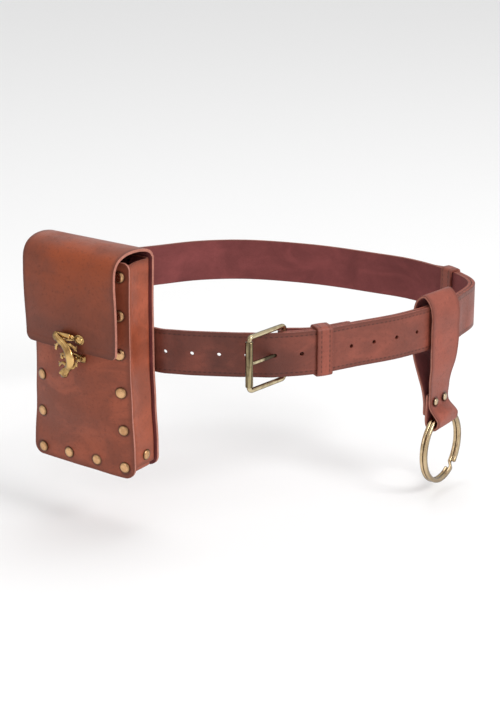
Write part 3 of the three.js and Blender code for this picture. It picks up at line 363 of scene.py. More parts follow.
def capped_tube(path, radii, sides=16, flat=1.0, up=(0, 0, 1)):
    """A closed tube: its rings, and a point at each end."""
    rings = tube_points(path, radii, sides, flat, up)
    count = len(rings)
    points = np.vstack([rings.reshape(-1, 3), rings[0].mean(0), rings[-1].mean(0)])
    faces = [list(f) for f in quads(count, sides, wrap_columns=True, flip=True)]
    last = (count - 1) * sides
    for j in range(sides):
        k = (j + 1) % sides
        faces.append([j, k, count * sides])
        faces.append([last + k, last + j, count * sides + 1])
    return points, faces


def joined(parts):
    """Several lists of points and faces as one."""
    points, faces, base = [], [], 0
    for part_points, part_faces in parts:
        points.append(np.asarray(part_points).reshape(-1, 3))
        faces.extend([[int(v) + base for v in f] for f in part_faces])
        base += len(points[-1])
    return np.vstack(points), faces


def lathe(profile, sides):
    """A profile of radius and height turned about the out axis: x, out, up columns, and its faces."""
    profile = np.asarray(profile, float)
    angle = np.linspace(0, 2 * np.pi, sides, endpoint=False)
    points = np.stack([profile[:, :1] * np.cos(angle), np.broadcast_to(profile[:, 1:], (len(profile), sides)),
                       profile[:, :1] * np.sin(angle)], axis=-1)
    return points, quads(len(profile), sides, wrap_columns=True)


# Materials

def node(tree, kind, inputs=None, **settings):
    """A shader node with its settings, its inputs given as values or as sockets to link from."""
    made = tree.nodes.new(kind)
    for key, value in settings.items():
        setattr(made, key, value)
    for key, value in (inputs or {}).items():
        target = made.inputs[key]
        if isinstance(value, bpy.types.NodeSocket):
            tree.links.new(value, target)
        else:
            target.default_value = value
    return made


def ramp(tree, value, stops):
    """A ramp between two stops, each a place and a colour."""
    made = tree.nodes.new("ShaderNodeValToRGB")
    for element, (at, colour) in zip(made.color_ramp.elements, stops):
        element.position = at
        element.color = (*colour, 1)
    tree.links.new(value, made.inputs["Fac"])
    return made.outputs["Color"]


def mix(tree, factor, a, b):
    """A blend of two colours by a factor, each a value or a socket."""
    made = tree.nodes.new("ShaderNodeMix")
    made.data_type = "RGBA"
    for name, value in (("Factor", factor), ("A", a), ("B", b)):
        kind = "VALUE" if name == "Factor" else "RGBA"
        target = next(s for s in made.inputs if s.name == name and s.type == kind)
        if isinstance(value, bpy.types.NodeSocket):
            tree.links.new(value, target)
        else:
            target.default_value = value if name == "Factor" else (*value, 1)
    return next(s for s in made.outputs if s.type == "RGBA")


def maths(tree, operation, a, b=0.0):
    """The result of an operation on one or two numbers or sockets."""
    made = tree.nodes.new("ShaderNodeMath")
    made.operation = operation
    for k, value in enumerate((a, b)):
        if isinstance(value, bpy.types.NodeSocket):
            tree.links.new(value, made.inputs[k])
        else:
            made.inputs[k].default_value = value
    return made.outputs[0]


def span(tree, value, low, high, to_low=0.0, to_high=1.0):
    """A value carried smoothly from one range to another."""
    made = tree.nodes.new("ShaderNodeMapRange")
    made.interpolation_type = "SMOOTHSTEP"
    tree.links.new(value, made.inputs["Value"])
    for key, number in (("From Min", low), ("From Max", high), ("To Min", to_low), ("To Max", to_high)):
        made.inputs[key].default_value = number
    return made.outputs["Result"]


def field(tree, name):
    """A point attribute of the mesh."""
    return node(tree, "ShaderNodeAttribute", attribute_name=name).outputs["Fac"]


def group(name, outputs):
    """An empty node group with a vector in and the named outputs, and its two end nodes."""
    tree = bpy.data.node_groups.new(name, "ShaderNodeTree")
    tree.interface.new_socket(name="Vector", in_out="INPUT", socket_type="NodeSocketVector")
    for label in outputs:
        tree.interface.new_socket(name=label, in_out="OUTPUT", socket_type="NodeSocketFloat")
    return tree, tree.nodes.new("NodeGroupInput"), tree.nodes.new("NodeGroupOutput")


def noise(tree, vector, scale, detail=4.0, rough=0.55, distortion=0.0):
    """Cloudy noise between 0 and 1."""
    return node(tree, "ShaderNodeTexNoise",
                {"Vector": vector, "Scale": scale, "Detail": detail, "Roughness": rough,
                                             "Distortion": distortion}).outputs["Fac"]


def leather_group():
    """Pores, creases and cloudy dye of waxed leather, as a height and three masks."""
    tree, start, end = group("hide surface", ["Height", "Cloud", "Fleck", "Streak"])
    at = start.outputs["Vector"]
    cells = node(tree, "ShaderNodeTexVoronoi", {"Vector": at, "Scale": 750.0, "Randomness": 1.0},
                 feature="DISTANCE_TO_EDGE").outputs["Distance"]
    pores = span(tree, cells, 0.0, 0.16)
    fine = noise(tree, at, 1900.0, 3.0)
    soft = noise(tree, at, 260.0, 5.0, 0.6)
    rough = maths(tree, "MULTIPLY", soft, 0.55)
    height = maths(tree, "ADD", maths(tree, "MULTIPLY", pores, 0.3), maths(tree, "MULTIPLY", fine, 0.18))
    tree.links.new(maths(tree, "ADD", height, rough), end.inputs["Height"])
    cloud = noise(tree, at, 22.0, 6.0, 0.62, 0.6)
    tree.links.new(span(tree, cloud, 0.3, 0.72), end.inputs["Cloud"])
    fleck = noise(tree, at, 420.0, 4.0, 0.7)
    tree.links.new(span(tree, fleck, 0.5, 0.74), end.inputs["Fleck"])
    streak = noise(tree, stretched(tree, at, 1.7), 26.0, 5.0, 0.6, 0.9)
    tree.links.new(span(tree, streak, 0.42, 0.75), end.inputs["Streak"])
    return tree


def metal_group():
    """Tarnish, dull spots and fine scratches of old brass, as masks."""
    tree, start, end = group("old brass surface", ["Tarnish", "Spot", "Scratch"])
    at = start.outputs["Vector"]
    tree.links.new(span(tree, noise(tree, at, 70.0, 5.0, 0.6, 0.8), 0.38, 0.68), end.inputs["Tarnish"])
    tree.links.new(span(tree, noise(tree, at, 900.0, 4.0, 0.7), 0.52, 0.72), end.inputs["Spot"])
    tree.links.new(noise(tree, stretched(tree, at, 0.06), 2600.0, 2.0), end.inputs["Scratch"])
    return tree


def start_material(name):
    """A new material with its tree, its shader and the object's own points."""
    material = bpy.data.materials.new(name)
    material.use_nodes = True
    tree = material.node_tree
    shader = tree.nodes["Principled BSDF"]
    at = node(tree, "ShaderNodeTexCoord").outputs["Object"]
    return material, tree, shader, at


def surface(tree, at, made_of):
    """The masks of a node group at the object's own points."""
    made = tree.nodes.new("ShaderNodeGroup")
    made.node_tree = made_of
    tree.links.new(at, made.inputs["Vector"])
    return made.outputs


def stretched(tree, at, scale):
    """The points with their upright direction scaled, so that noise on them runs along or across it."""
    return node(tree, "ShaderNodeMapping", {"Vector": at, "Scale": (1.0, 1.0, scale)}).outputs["Vector"]


def bumped(tree, shader, height, strength, distance):
    """Bends the shader's normals by a height."""
    made = node(tree, "ShaderNodeBump", {"Height": height, "Strength": strength, "Distance": distance})
    tree.links.new(made.outputs["Normal"], shader.inputs["Normal"])


def tone(colour, share):
    """A colour darkened or lightened by a share."""
    return tuple(share * v for v in colour)


def leather(name, groups, dark, mid, light, burnish, stitched, worn, rough):
    """Waxed grain leather: cloudy dye, painted shade round the rivets, darker near the edges, an optional
    patch of painted light, and an optional line of stitches.
    """
    material, tree, shader, at = start_material(name)
    hide = surface(tree, at, groups["hide"])
    base = mix(tree, hide["Cloud"], dark, mid)
    base = mix(tree, maths(tree, "MULTIPLY", hide["Streak"], worn), base, light)
    # Painted light in a band of heights and sides: painted shade over the belt's left part, a painted
    # highlight over the flap's upper left.
    if burnish:
        colour, low, high, side_low, side_high = burnish
        axes = node(tree, "ShaderNodeSeparateXYZ", {"Vector": at}).outputs
        painted_light_mask = maths(tree, "MULTIPLY", span(tree, axes["Z"], low * MM, high * MM),
                     span(tree, axes["X"], side_high * MM, side_low * MM))
        painted_light_mask = maths(tree, "MULTIPLY", painted_light_mask, span(tree, noise(tree, at, 30.0, 4.0), 0.3, 0.65, 0.15, 0.7))
        base = mix(tree, painted_light_mask, base, colour)
    base = mix(tree, maths(tree, "MULTIPLY", hide["Fleck"], 0.42), base, tone(dark, 0.5))
    edge = field(tree, "edge")
    rim = span(tree, edge, 0.0, 5.0, 0.62, 0.0)
    base = mix(tree, rim, base, tone(dark, 0.6))
    # Painted shade: a dark ring just round each rivet head.
    near = span(tree, field(tree, "rivet"), 4.5, 6.6, 0.6, 0.0)
    base = mix(tree, near, base, tone(dark, 0.25))
    height = hide["Height"]
    if stitched:
        inset, pitch, strength = stitched
        off_line = maths(tree, "ABSOLUTE", maths(tree, "SUBTRACT", edge, inset))
        line = span(tree, off_line, 0.25, 0.95, 1.0, 0.0)
        wave = maths(tree, "SINE", maths(tree, "MULTIPLY", field(tree, "run"), 2 * math.pi / pitch))
        dash = span(tree, wave, -0.25, 0.25, strength, 1.0)
        groove = maths(tree, "MULTIPLY", line, dash)
        base = mix(tree, maths(tree, "MULTIPLY", groove, 0.6), base, tone(dark, 0.22))
        height = maths(tree, "SUBTRACT", height, maths(tree, "MULTIPLY", groove, 1.6))
    tree.links.new(base, shader.inputs["Base Color"])
    roughness = span(tree, hide["Cloud"], 0.0, 1.0, rough[0], rough[1])
    roughness = maths(tree, "ADD", roughness, maths(tree, "MULTIPLY", hide["Fleck"], 0.08))
    tree.links.new(roughness, shader.inputs["Roughness"])
    shader.inputs["Specular IOR Level"].default_value = 0.34
    bumped(tree, shader, height, 0.22, 0.0006)
    return material


def flesh(name, groups, dark, light):
    """The rough flesh side: matt, fibrous and cloudy."""
    material, tree, shader, at = start_material(name)
    hide = surface(tree, at, groups["hide"])
    fibres = noise(tree, stretched(tree, at, 2.5), 700.0, 6.0, 0.75)
    base = mix(tree, hide["Cloud"], dark, light)
    base = mix(tree, span(tree, fibres, 0.35, 0.7, 0.0, 0.5), base, tone(dark, 0.7))
    base = mix(tree, maths(tree, "MULTIPLY", hide["Streak"], 0.3), base,
               tuple(min(1.5 * v, 1) for v in light))
    tree.links.new(base, shader.inputs["Base Color"])
    shader.inputs["Roughness"].default_value = 0.82
    shader.inputs["Specular IOR Level"].default_value = 0.25
    bumped(tree, shader, fibres, 0.45, 0.0006)
    return material


def cut_edge(name, dark, light):
    """The cut edge: pale fibres between the dyed faces, smudged."""
    material, tree, shader, at = start_material(name)
    layers = noise(tree, at, 340.0, 5.0, 0.7)
    base = ramp(tree, layers, [(0.3, dark), (0.62, light)])
    tree.links.new(base, shader.inputs["Base Color"])
    shader.inputs["Roughness"].default_value = 0.7
    bumped(tree, shader, noise(tree, at, 1400.0, 3.0), 0.3, 0.0004)
    return material


def brass(name, groups, bright, dull, dark, rough, tarnish, bump, drawn_out):
    """Old brass: bright where rubbed, brown where dull, darker in the cast pieces' hollows, with painted
    shade on the prong and the rivet rims, a painted dark reflection on the ring's faces, and a painted dark
    reflection where it turns away.
    """
    material, tree, shader, at = start_material(name)
    skin = surface(tree, at, groups["metal"])
    base = mix(tree, maths(tree, "MULTIPLY", skin["Tarnish"], tarnish), bright, dull)
    base = mix(tree, maths(tree, "MULTIPLY", skin["Spot"], 0.22), base, dark)
    # Darker in the cast pieces' hollows; painted shade on the prong and the rivet rims, a painted dark
    # reflection on the ring's front and back faces.
    base = mix(tree, field(tree, "hollow"), base, dark)
    if drawn_out:
        streaks = noise(tree, stretched(tree, at, 0.03), 900.0, 3.0)
        base = mix(tree, span(tree, streaks, 0.42, 0.6, 0.0, drawn_out), base, dark)
    # Painted dark reflection: darker where the surface turns away from the eye.
    facing = node(tree, "ShaderNodeLayerWeight", {"Blend": 0.5}).outputs["Facing"]
    base = mix(tree, span(tree, facing, 0.3, 0.85, 0.0, 0.88), base, dark)
    tree.links.new(base, shader.inputs["Base Color"])
    shader.inputs["Metallic"].default_value = 1.0
    roughness = span(tree, skin["Tarnish"], 0.0, 1.0, rough[0], rough[1])
    roughness = maths(tree, "ADD", roughness, maths(tree, "MULTIPLY", field(tree, "hollow"), 0.2))
    tree.links.new(roughness, shader.inputs["Roughness"])
    height = maths(tree, "ADD", skin["Spot"], maths(tree, "MULTIPLY", skin["Scratch"], 0.4))
    bumped(tree, shader, height, bump, 0.0004)
    return material


# Belt

def strap_path(s_values, kind):
    """The strap's middle line: folded end inside, round the heel bar, then round the loop onto itself."""
    if kind == "fold":
        spread = 2 * BEND_RADIUS - LAYER
        return belt_point(s_values, -LAYER - spread * ease(1 - s_values / LAYER_BLEND))
    if kind == "bend":
        origin, along = belt_point(np.zeros(1), np.zeros(1)), belt_point(np.array([-1.0]), np.zeros(1))
        out = belt_point(np.zeros_like(s_values), -BEND_RADIUS * (1 + np.cos(s_values)))
        return origin + (along - origin) * (BEND_RADIUS * np.sin(s_values))[:, None] + out - origin
    return belt_point(s_values, LAYER * ease((s_values - LOOP_LENGTH + OVERLAP_BEFORE) / LAYER_BLEND))


def belt_strap_piece(mats):
    """The strap as a grid of distance and height, with a ring of faces round each punched hole."""
    step = HOLE_SPACING / CELLS_PER_HOLE
    columns = STRAP_COLUMNS
    v = np.linspace(-BELT_WIDTH / 2, BELT_WIDTH / 2, columns)
    fold = np.arange(FOLD_LENGTH, 0.5, -step)
    bend = np.linspace(0, np.pi, BEND_ROWS)
    first = math.ceil((2 - LOOP_LENGTH - PRONG_HOLE_AT) / step)
    last = int((TAIL_LENGTH - PRONG_HOLE_AT) / step)
    index = np.arange(first, last + 1)
    loop = LOOP_LENGTH + PRONG_HOLE_AT + index * step
    loop = np.append(loop, LOOP_LENGTH + TAIL_LENGTH)
    centre = np.vstack([strap_path(fold, "fold"), strap_path(bend, "bend"), strap_path(loop, "loop")])
    run = lengths(centre)
    rows = len(centre)
    loop_from = len(fold) + len(bend)

    def surface(row, height):
        """A point of the strap at a place between rows, at a height."""
        at = np.stack([np.interp(row, np.arange(rows), centre[:, k]) for k in (0, 1)], axis=-1)
        left = run[-1] - np.interp(row, np.arange(rows), run)
        wide = np.interp(left, *TAIL_TAPER)
        start = np.interp(row, np.arange(rows), run)
        wide = wide * np.interp(start, *FOLD_TAPER)
        sway = 0.35 * np.sin(start / 41) + 0.25 * np.sin(start / 23 + 1)
        return np.concatenate([at, (height * wide + sway * (np.abs(height) / 19) ** 2 * 0.6)[..., None]],
                              axis=-1)

    i, j = np.meshgrid(np.arange(rows), np.arange(columns), indexing="ij")
    row_of, height_of = [i.ravel().astype(float)], [v[j].ravel()]
    faces = quads(rows, columns)
    keep = np.ones((rows - 1, columns - 1), bool)
    middle = columns // 2
    keep[len(fold) - PRONG_ROWS:loop_from + PRONG_ROWS, middle - 2:middle + 2] = False
    extra_faces = []
    count = rows * columns
    half = HOLE_HALF_CELLS
    for k in range(-HOLES_BEFORE, HOLES_AFTER + 1):
        row = loop_from + int(np.argmin(np.abs(loop - (LOOP_LENGTH + PRONG_HOLE_AT + k * HOLE_SPACING))))
        keep[row - half:row + half, middle - half:middle + half] = False
        side = np.arange(-half, half)
        rim = np.full(2 * half, half)
        sides = ((side, -rim), (rim, side), (-side, rim), (-rim, -side))
        square = np.concatenate([np.stack(pair, 1) for pair in sides])
        outer = (row + square[:, 0]) * columns + middle + square[:, 1]
        cell = np.array([step, v[1] - v[0]])
        flat = square * cell
        angle = np.arctan2(flat[:, 1], flat[:, 0])
        circle = HOLE_RADIUS * np.stack([np.cos(angle), np.sin(angle)], 1)
        before = outer
        for share in HOLE_RINGS:
            at = flat + (circle - flat) * share
            row_of.append(row + at[:, 0] / step)
            height_of.append(at[:, 1])
            new = count + np.arange(len(square))
            count += len(square)
            nxt = np.roll(np.arange(len(square)), -1)
            extra_faces.append(np.stack([before, before[nxt], new[nxt], new], 1))
            before = new
    faces = faces.reshape(rows - 1, columns - 1, 4)[keep]
    faces = np.vstack([faces] + extra_faces)
    row_all, height_all = np.concatenate(row_of), np.concatenate(height_of)
    points = surface(row_all, height_all)
    along = np.interp(row_all, np.arange(rows), run)
    edge = np.minimum(BELT_WIDTH / 2 - np.abs(height_all), np.minimum(along, run[-1] - along) + 0.01)
    used = np.unique(faces)
    renumber = np.zeros(len(points), int)
    renumber[used] = np.arange(len(used))
    piece = build("belt_leather", points[used], renumber[faces], mats,
                  uv=np.stack([along, height_all], 1)[used],
                  fields={"edge": edge[used], "run": along[used], "rivet": np.full(len(used), FAR)})
    thicken(piece, BELT_THICK, EDGE_ROUND)
    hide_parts("belt_strap")


def rounded_loop(low, high, half, radius, steps=6):
    """A closed rounded rectangle of points as out and up columns."""
    corners = [(high - radius, -half + radius, -90), (high - radius, half - radius, 0),
               (low + radius, half - radius, 90), (low + radius, -half + radius, 180)]
    points = []
    for out, up, start in corners:
        angle = np.radians(start + np.linspace(0, 90, steps))
        points.append(np.stack([out + radius * np.cos(angle), up + radius * np.sin(angle)], 1))
    line = np.vstack(points)
    return spaced(np.vstack([line, line[:1]]), 129)[:-1]


def keeper_piece(name, at, low, high, mats, node_name):
    """A band: its rounded rectangle carried along the belt, a little hollow along its middle."""
    seat = Seat(at)
    half = BELT_WIDTH / 2 + GAP
    line = rounded_loop(low - KEEPER_THICK / 2, high + KEEPER_THICK / 2, half + KEEPER_THICK / 2, 2.2)
    x = np.linspace(-KEEPER_WIDTH / 2, KEEPER_WIDTH / 2, 13)
    dip = 0.25 * (1 - (x / x[-1]) ** 2)
    centre = np.array([(low + high) / 2, 0])
    away = line - centre
    away /= np.linalg.norm(away, axis=1)[:, None]
    grid = line[:, None, :] + away[:, None, :] * dip[None, :, None]
    points = seat.place(np.broadcast_to(x, grid.shape[:2]), grid[..., 0], grid[..., 1])
    run = np.broadcast_to(lengths(line)[:, None], grid.shape[:2])
    edge = np.broadcast_to(KEEPER_WIDTH / 2 - np.abs(x), grid.shape[:2])
    piece = build(name, points, quads(len(line), len(x), wrap_rows=True, flip=True), mats,
                  uv=np.stack([run, np.broadcast_to(x, run.shape)], -1),
                  fields={"edge": edge, "run": run, "rivet": np.full(edge.shape, FAR)})
    thicken(piece, KEEPER_THICK, BAND_ROUND)
    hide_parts(node_name)


def keepers(mats):
    """The band behind the buckle goes round three layers of strap, the other round two."""
    outer = LAYER + BELT_THICK / 2 + SLIDE
    inner = BELT_THICK / 2 + SLIDE
    keeper_piece("keeper_band_front", KEEPER_FRONT_AT, -inner - LAYER, outer, mats, "keeper_front")
    keeper_piece("keeper_band_back", KEEPER_BACK_AT, -inner, outer, mats, "keeper_back")


# Buckle

BUCKLE_SEAT = Seat(0, -BEND_RADIUS, FRAME_LEAN)


def buckle_frame_piece(metal):
    """A wire of squared round section, carried round a rounded rectangle."""
    half = FRAME_HEIGHT / 2 - FRAME_CORNER
    path = []
    near, far = -FRAME_CORNER, FRAME_CORNER - FRAME_LENGTH
    for x, z, start in ((near, -half, -90), (near, half, 0), (far, half, 90), (far, -half, 180)):
        angle = np.radians(start + np.linspace(0, 90, 12))
        path.append(np.stack([x + FRAME_CORNER * np.cos(angle), z + FRAME_CORNER * np.sin(angle)], 1))
    path = np.vstack(path)
    path = spaced(np.vstack([path, path[:1]]), 241)[:-1]
    along = np.roll(path, -1, 0) - np.roll(path, 1, 0)
    along /= np.linalg.norm(along, axis=1)[:, None]
    angle = np.linspace(0, 2 * np.pi, WIRE_SIDES, endpoint=False)
    side = np.stack([-along[:, 1], along[:, 0]], 1)
    wire = WIRE_RADIUS * squared_off(np.cos(angle), WIRE_SQUARE)
    x = path[:, :1] + side[:, :1] * wire
    z = path[:, 1:] + side[:, 1:] * wire
    out = np.broadcast_to(WIRE_RADIUS * squared_off(np.sin(angle), WIRE_SQUARE), x.shape)
    faces = quads(len(path), WIRE_SIDES, True, True)
    piece = build("buckle_wire", BUCKLE_SEAT.place(x, out, z), faces, [metal])
    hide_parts("buckle_frame")


def buckle_roller_piece(metal):
    """A drum: a profile of radius and height turned about the bar, closed by its inner wall."""
    h = ROLLER_LENGTH / 2
    inner = WIRE_RADIUS + GAP
    r = ROLLER_RADIUS
    profile = np.array([(inner, -h), (r - 0.5, -h), (r - 0.1, -h + 0.25), (r, -h + 0.8), (r, -h + 6), (r, 0),
                        (r, h - 6), (r, h - 0.8), (r - 0.1, h - 0.25), (r - 0.5, h), (inner, h)])
    turn, faces = lathe(profile, ROLLER_SIDES)
    ring = np.arange(ROLLER_SIDES)
    after = (ring + 1) % ROLLER_SIDES
    last = (len(profile) - 1) * ROLLER_SIDES
    inside = np.stack([last + ring, last + after, after, ring], 1)
    piece = build("buckle_drum", BUCKLE_SEAT.place(turn[..., 0] - FRAME_LENGTH, turn[..., 2], turn[..., 1]),
                  np.vstack([faces[:, ::-1], inside]), [metal])
    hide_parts("buckle_roller")


def buckle_prong_piece(metal):
    """A bar of squared section along a line that curls round the heel bar and reaches the roller."""
    eye = WIRE_RADIUS + GAP + 0.7
    turn = np.radians(np.linspace(168, -150, 40))
    loop = np.stack([eye * np.cos(turn), eye * np.sin(turn)], 1)
    reach = FRAME_LENGTH - ROLLER_RADIUS - GAP
    shaft = np.array([(-eye * 0.86 - 3.2, -0.55), (-12, -0.1), (-24, 0.0), (-reach + 4, 0.0),
                      (-reach + 0.2, 0.0)])
    path = spaced(spline(np.vstack([loop[::4], shaft]), steps=20), 120)
    run = lengths(path)
    share = run / run[-1]
    wide = np.interp(share, *PRONG_WIDE)
    thick = np.interp(share, *PRONG_THICK)
    along = np.gradient(path, axis=0)
    along /= np.linalg.norm(along, axis=1)[:, None]
    normal = np.stack([-along[:, 1], along[:, 0]], 1)
    angle = np.linspace(0, 2 * np.pi, PRONG_SIDES, endpoint=False)
    across = thick[:, None] * squared_off(np.cos(angle), PRONG_SQUARE)
    up = wide[:, None] * squared_off(np.sin(angle), PRONG_SQUARE)
    x = path[:, :1] + normal[:, :1] * across
    out = path[:, 1:] + normal[:, 1:] * across
    faces = closed_rings(len(path), PRONG_SIDES)
    points = BUCKLE_SEAT.place(x, out, up)
    # Painted shadow along the prong, with a lit patch near its tip.
    shade = np.interp(share, *PRONG_SHADE)
    shade = np.broadcast_to(shade[:, None], x.shape)
    piece = build("buckle_tongue", points, faces, [metal], fields={"hollow": shade})
    outward(piece)
    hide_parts("buckle_prong")


def outward(piece):
    """Turns a closed piece's faces outwards by the sign of its volume."""
    mesh = piece.data
    mesh.calc_loop_triangles()
    co = np.empty(len(mesh.vertices) * 3)
    mesh.vertices.foreach_get("co", co)
    co = co.reshape(-1, 3)
    tri = np.empty(len(mesh.loop_triangles) * 3, np.int32)
    mesh.loop_triangles.foreach_get("vertices", tri)
    a, b, c = (co[tri.reshape(-1, 3)[:, k]] for k in range(3))
    if np.einsum("ij,ij->i", a, np.cross(b, c)).sum() < 0:
        mesh.flip_normals()


# Rivets

def rivet_points(radius, dome, sides=28):
    """A domed head above its face, as x, out and up: low rim, shoulder and crown."""
    profile = np.array([(0.01, -0.05), (radius * 0.99, -0.05), (radius, 0.18), (radius * 0.97, 0.42),
                        (radius * 0.86, dome * 0.55), (radius * 0.66, dome * 0.83),
                        (radius * 0.36, dome * 0.97), (0.01, dome)])
    return lathe(profile, sides)


def rivet_field(name, places, radius, dome, metal, nodes, seed):
    """All rivets of a kind as one piece: a head at each place, each slightly tilted and scaled."""
    rng = np.random.default_rng(seed)
    head, faces = rivet_points(radius, dome)
    points, all_faces, base = [], [], 0
    for origin, across, out, up in places:
        scale = 1 + rng.uniform(-RIVET_SCALING, RIVET_SCALING)
        lean = rng.uniform(-RIVET_TILT, RIVET_TILT, 2)
        x, o, z = head[..., 0] * scale, head[..., 1] * scale, head[..., 2] * scale
        o = o + lean[0] * x * 0.4 + lean[1] * z * 0.4 + 0.12
        head_points = origin + across * x[..., None] + out * o[..., None] + up * z[..., None]
        points.append(head_points.reshape(-1, 3))
        all_faces.append(faces + base)
        base += len(points[-1])
    stacked = np.vstack(points)
    # Painted shade: each head darkens towards its outer rim.
    far = np.hypot(head[..., 0], head[..., 2]) / radius
    height = np.tile(ease((far - 0.72) / 0.28).ravel() * 0.85, len(places))
    piece = build(name, stacked, np.vstack(all_faces), [metal], fields={"hollow": height})
    outward(piece)
    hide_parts(*nodes)


# Pouch

def half_width(up):
    """Half the panel's width at a height: straight, with a flare by the rows' shares."""
    return POUCH_HALF + BOTTOM_FLARE * between((up - POUCH_BOTTOM) / POUCH_HEIGHT, 1)


def front_out(x, up):
    """The front panel's middle surface: its depth and a crown that falls off as the square across."""
    crown = FRONT_CROWN * between((up - POUCH_BOTTOM) / POUCH_HEIGHT, 2)
    side = np.clip(x / half_width(up), -1, 1)
    return POUCH_DEPTH - MIDDLE + crown * (1 - side * side)


def rounded(half, from_end, radius):
    """A half width at a distance from an end, with the corner cut to a quarter circle."""
    inside = np.maximum(radius - from_end, 0)
    return half - radius + np.sqrt(np.maximum(radius * radius - inside * inside, 0))


def corner_rows(radius, count=9):
    """Distances from an end at even angles of its corner: the radius times one less the cosine."""
    return radius * (1 - np.cos(np.linspace(0, np.pi / 2, count)))


def rivet_spots():
    """The places of the panel's rivets, as name, x and up: six down each side and two along the bottom."""
    spots = []
    for k in range(SIDE_RIVETS):
        for hand, side in ((-1, "left"), (1, "right")):
            up = LOWEST_RIVET + k * RIVET_RISE
            inset = RIVET_INSET + (CORNER_RIVET_SHIFT if hand > 0 and k == 0 else RIVET_SHIFT)
            spots.append((f"{side}_{k + 1}", hand * (half_width(np.array(up)) - inset), up))
    third = (half_width(np.array(LOWEST_RIVET)) - RIVET_INSET) / 3
    for hand, side in ((-1, "left"), (1, "right")):
        spots.append((f"bottom_{side}", hand * third, LOWEST_RIVET + BOTTOM_ROW_RISE))
    return [(name, float(x), float(up)) for name, x, up in spots]


def rivet_distance(x, up, spots):
    """The distance from each point to its nearest rivet."""
    best = np.full(np.shape(x), FAR)
    for _, at_x, at_up in spots:
        best = np.minimum(best, np.hypot(x - at_x, up - at_up))
    return best


def panel_edge(x, up, low, high, radius):
    """The distance from a panel's outline, for a rectangle with rounded corners."""
    half = half_width(up)
    dx, dz = half - np.abs(x), np.minimum(up - low, high - up)
    corner = radius - np.hypot(np.maximum(radius - dx, 0), np.maximum(radius - dz, 0))
    return np.where((dx < radius) & (dz < radius), corner, np.minimum(dx, dz))


def front_panel_piece(mats):
    """The front as rows and columns, with dents at the rivets, waves and spread corners."""
    spots = rivet_spots()
    between_corners = np.linspace(POUCH_BOTTOM + PANEL_CORNER, POUCH_TOP - FLAP_CORNER, 110)
    ups = np.unique(np.concatenate([POUCH_BOTTOM + corner_rows(PANEL_CORNER),
                                    POUCH_TOP - corner_rows(FLAP_CORNER), between_corners]))
    half = np.minimum(rounded(half_width(ups), ups - POUCH_BOTTOM, PANEL_CORNER),
                      rounded(half_width(ups), POUCH_TOP - ups, FLAP_CORNER))
    t = np.linspace(-1, 1, PANEL_COLUMNS)
    x = half[:, None] * t
    up = np.broadcast_to(ups[:, None], x.shape)
    near = rivet_distance(x, up, spots)
    dent = -0.3 * np.exp(-(near / 7.5) ** 2)
    low_wave = 0.5 * np.sin(x / 15 + 0.6) * ease((-70 - up) / 30)
    wave = 0.35 * np.sin(up / 17 + x / 31) * (1 - t * t) + low_wave
    spread = -CORNER_SPREAD * ease((-x - 20) / 30) * ease((-60 - up) / 42)
    dip = -CORNER_DIP * ease((x - 5) / 45) * ease((-74 - up) / 28)
    points = POUCH_SEAT.place(x + spread, front_out(x, up) + dent + wave, up + dip)
    edge = panel_edge(x, up, POUCH_BOTTOM, POUCH_TOP, PANEL_CORNER)
    piece = build("pouch_front_leather", points, quads(len(ups), len(t), flip=True), mats,
                  uv=np.stack([x, up], -1), fields={"edge": edge, "run": up, "rivet": near})
    thicken(piece, LEATHER, EDGE_ROUND)
    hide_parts("pouch_front")


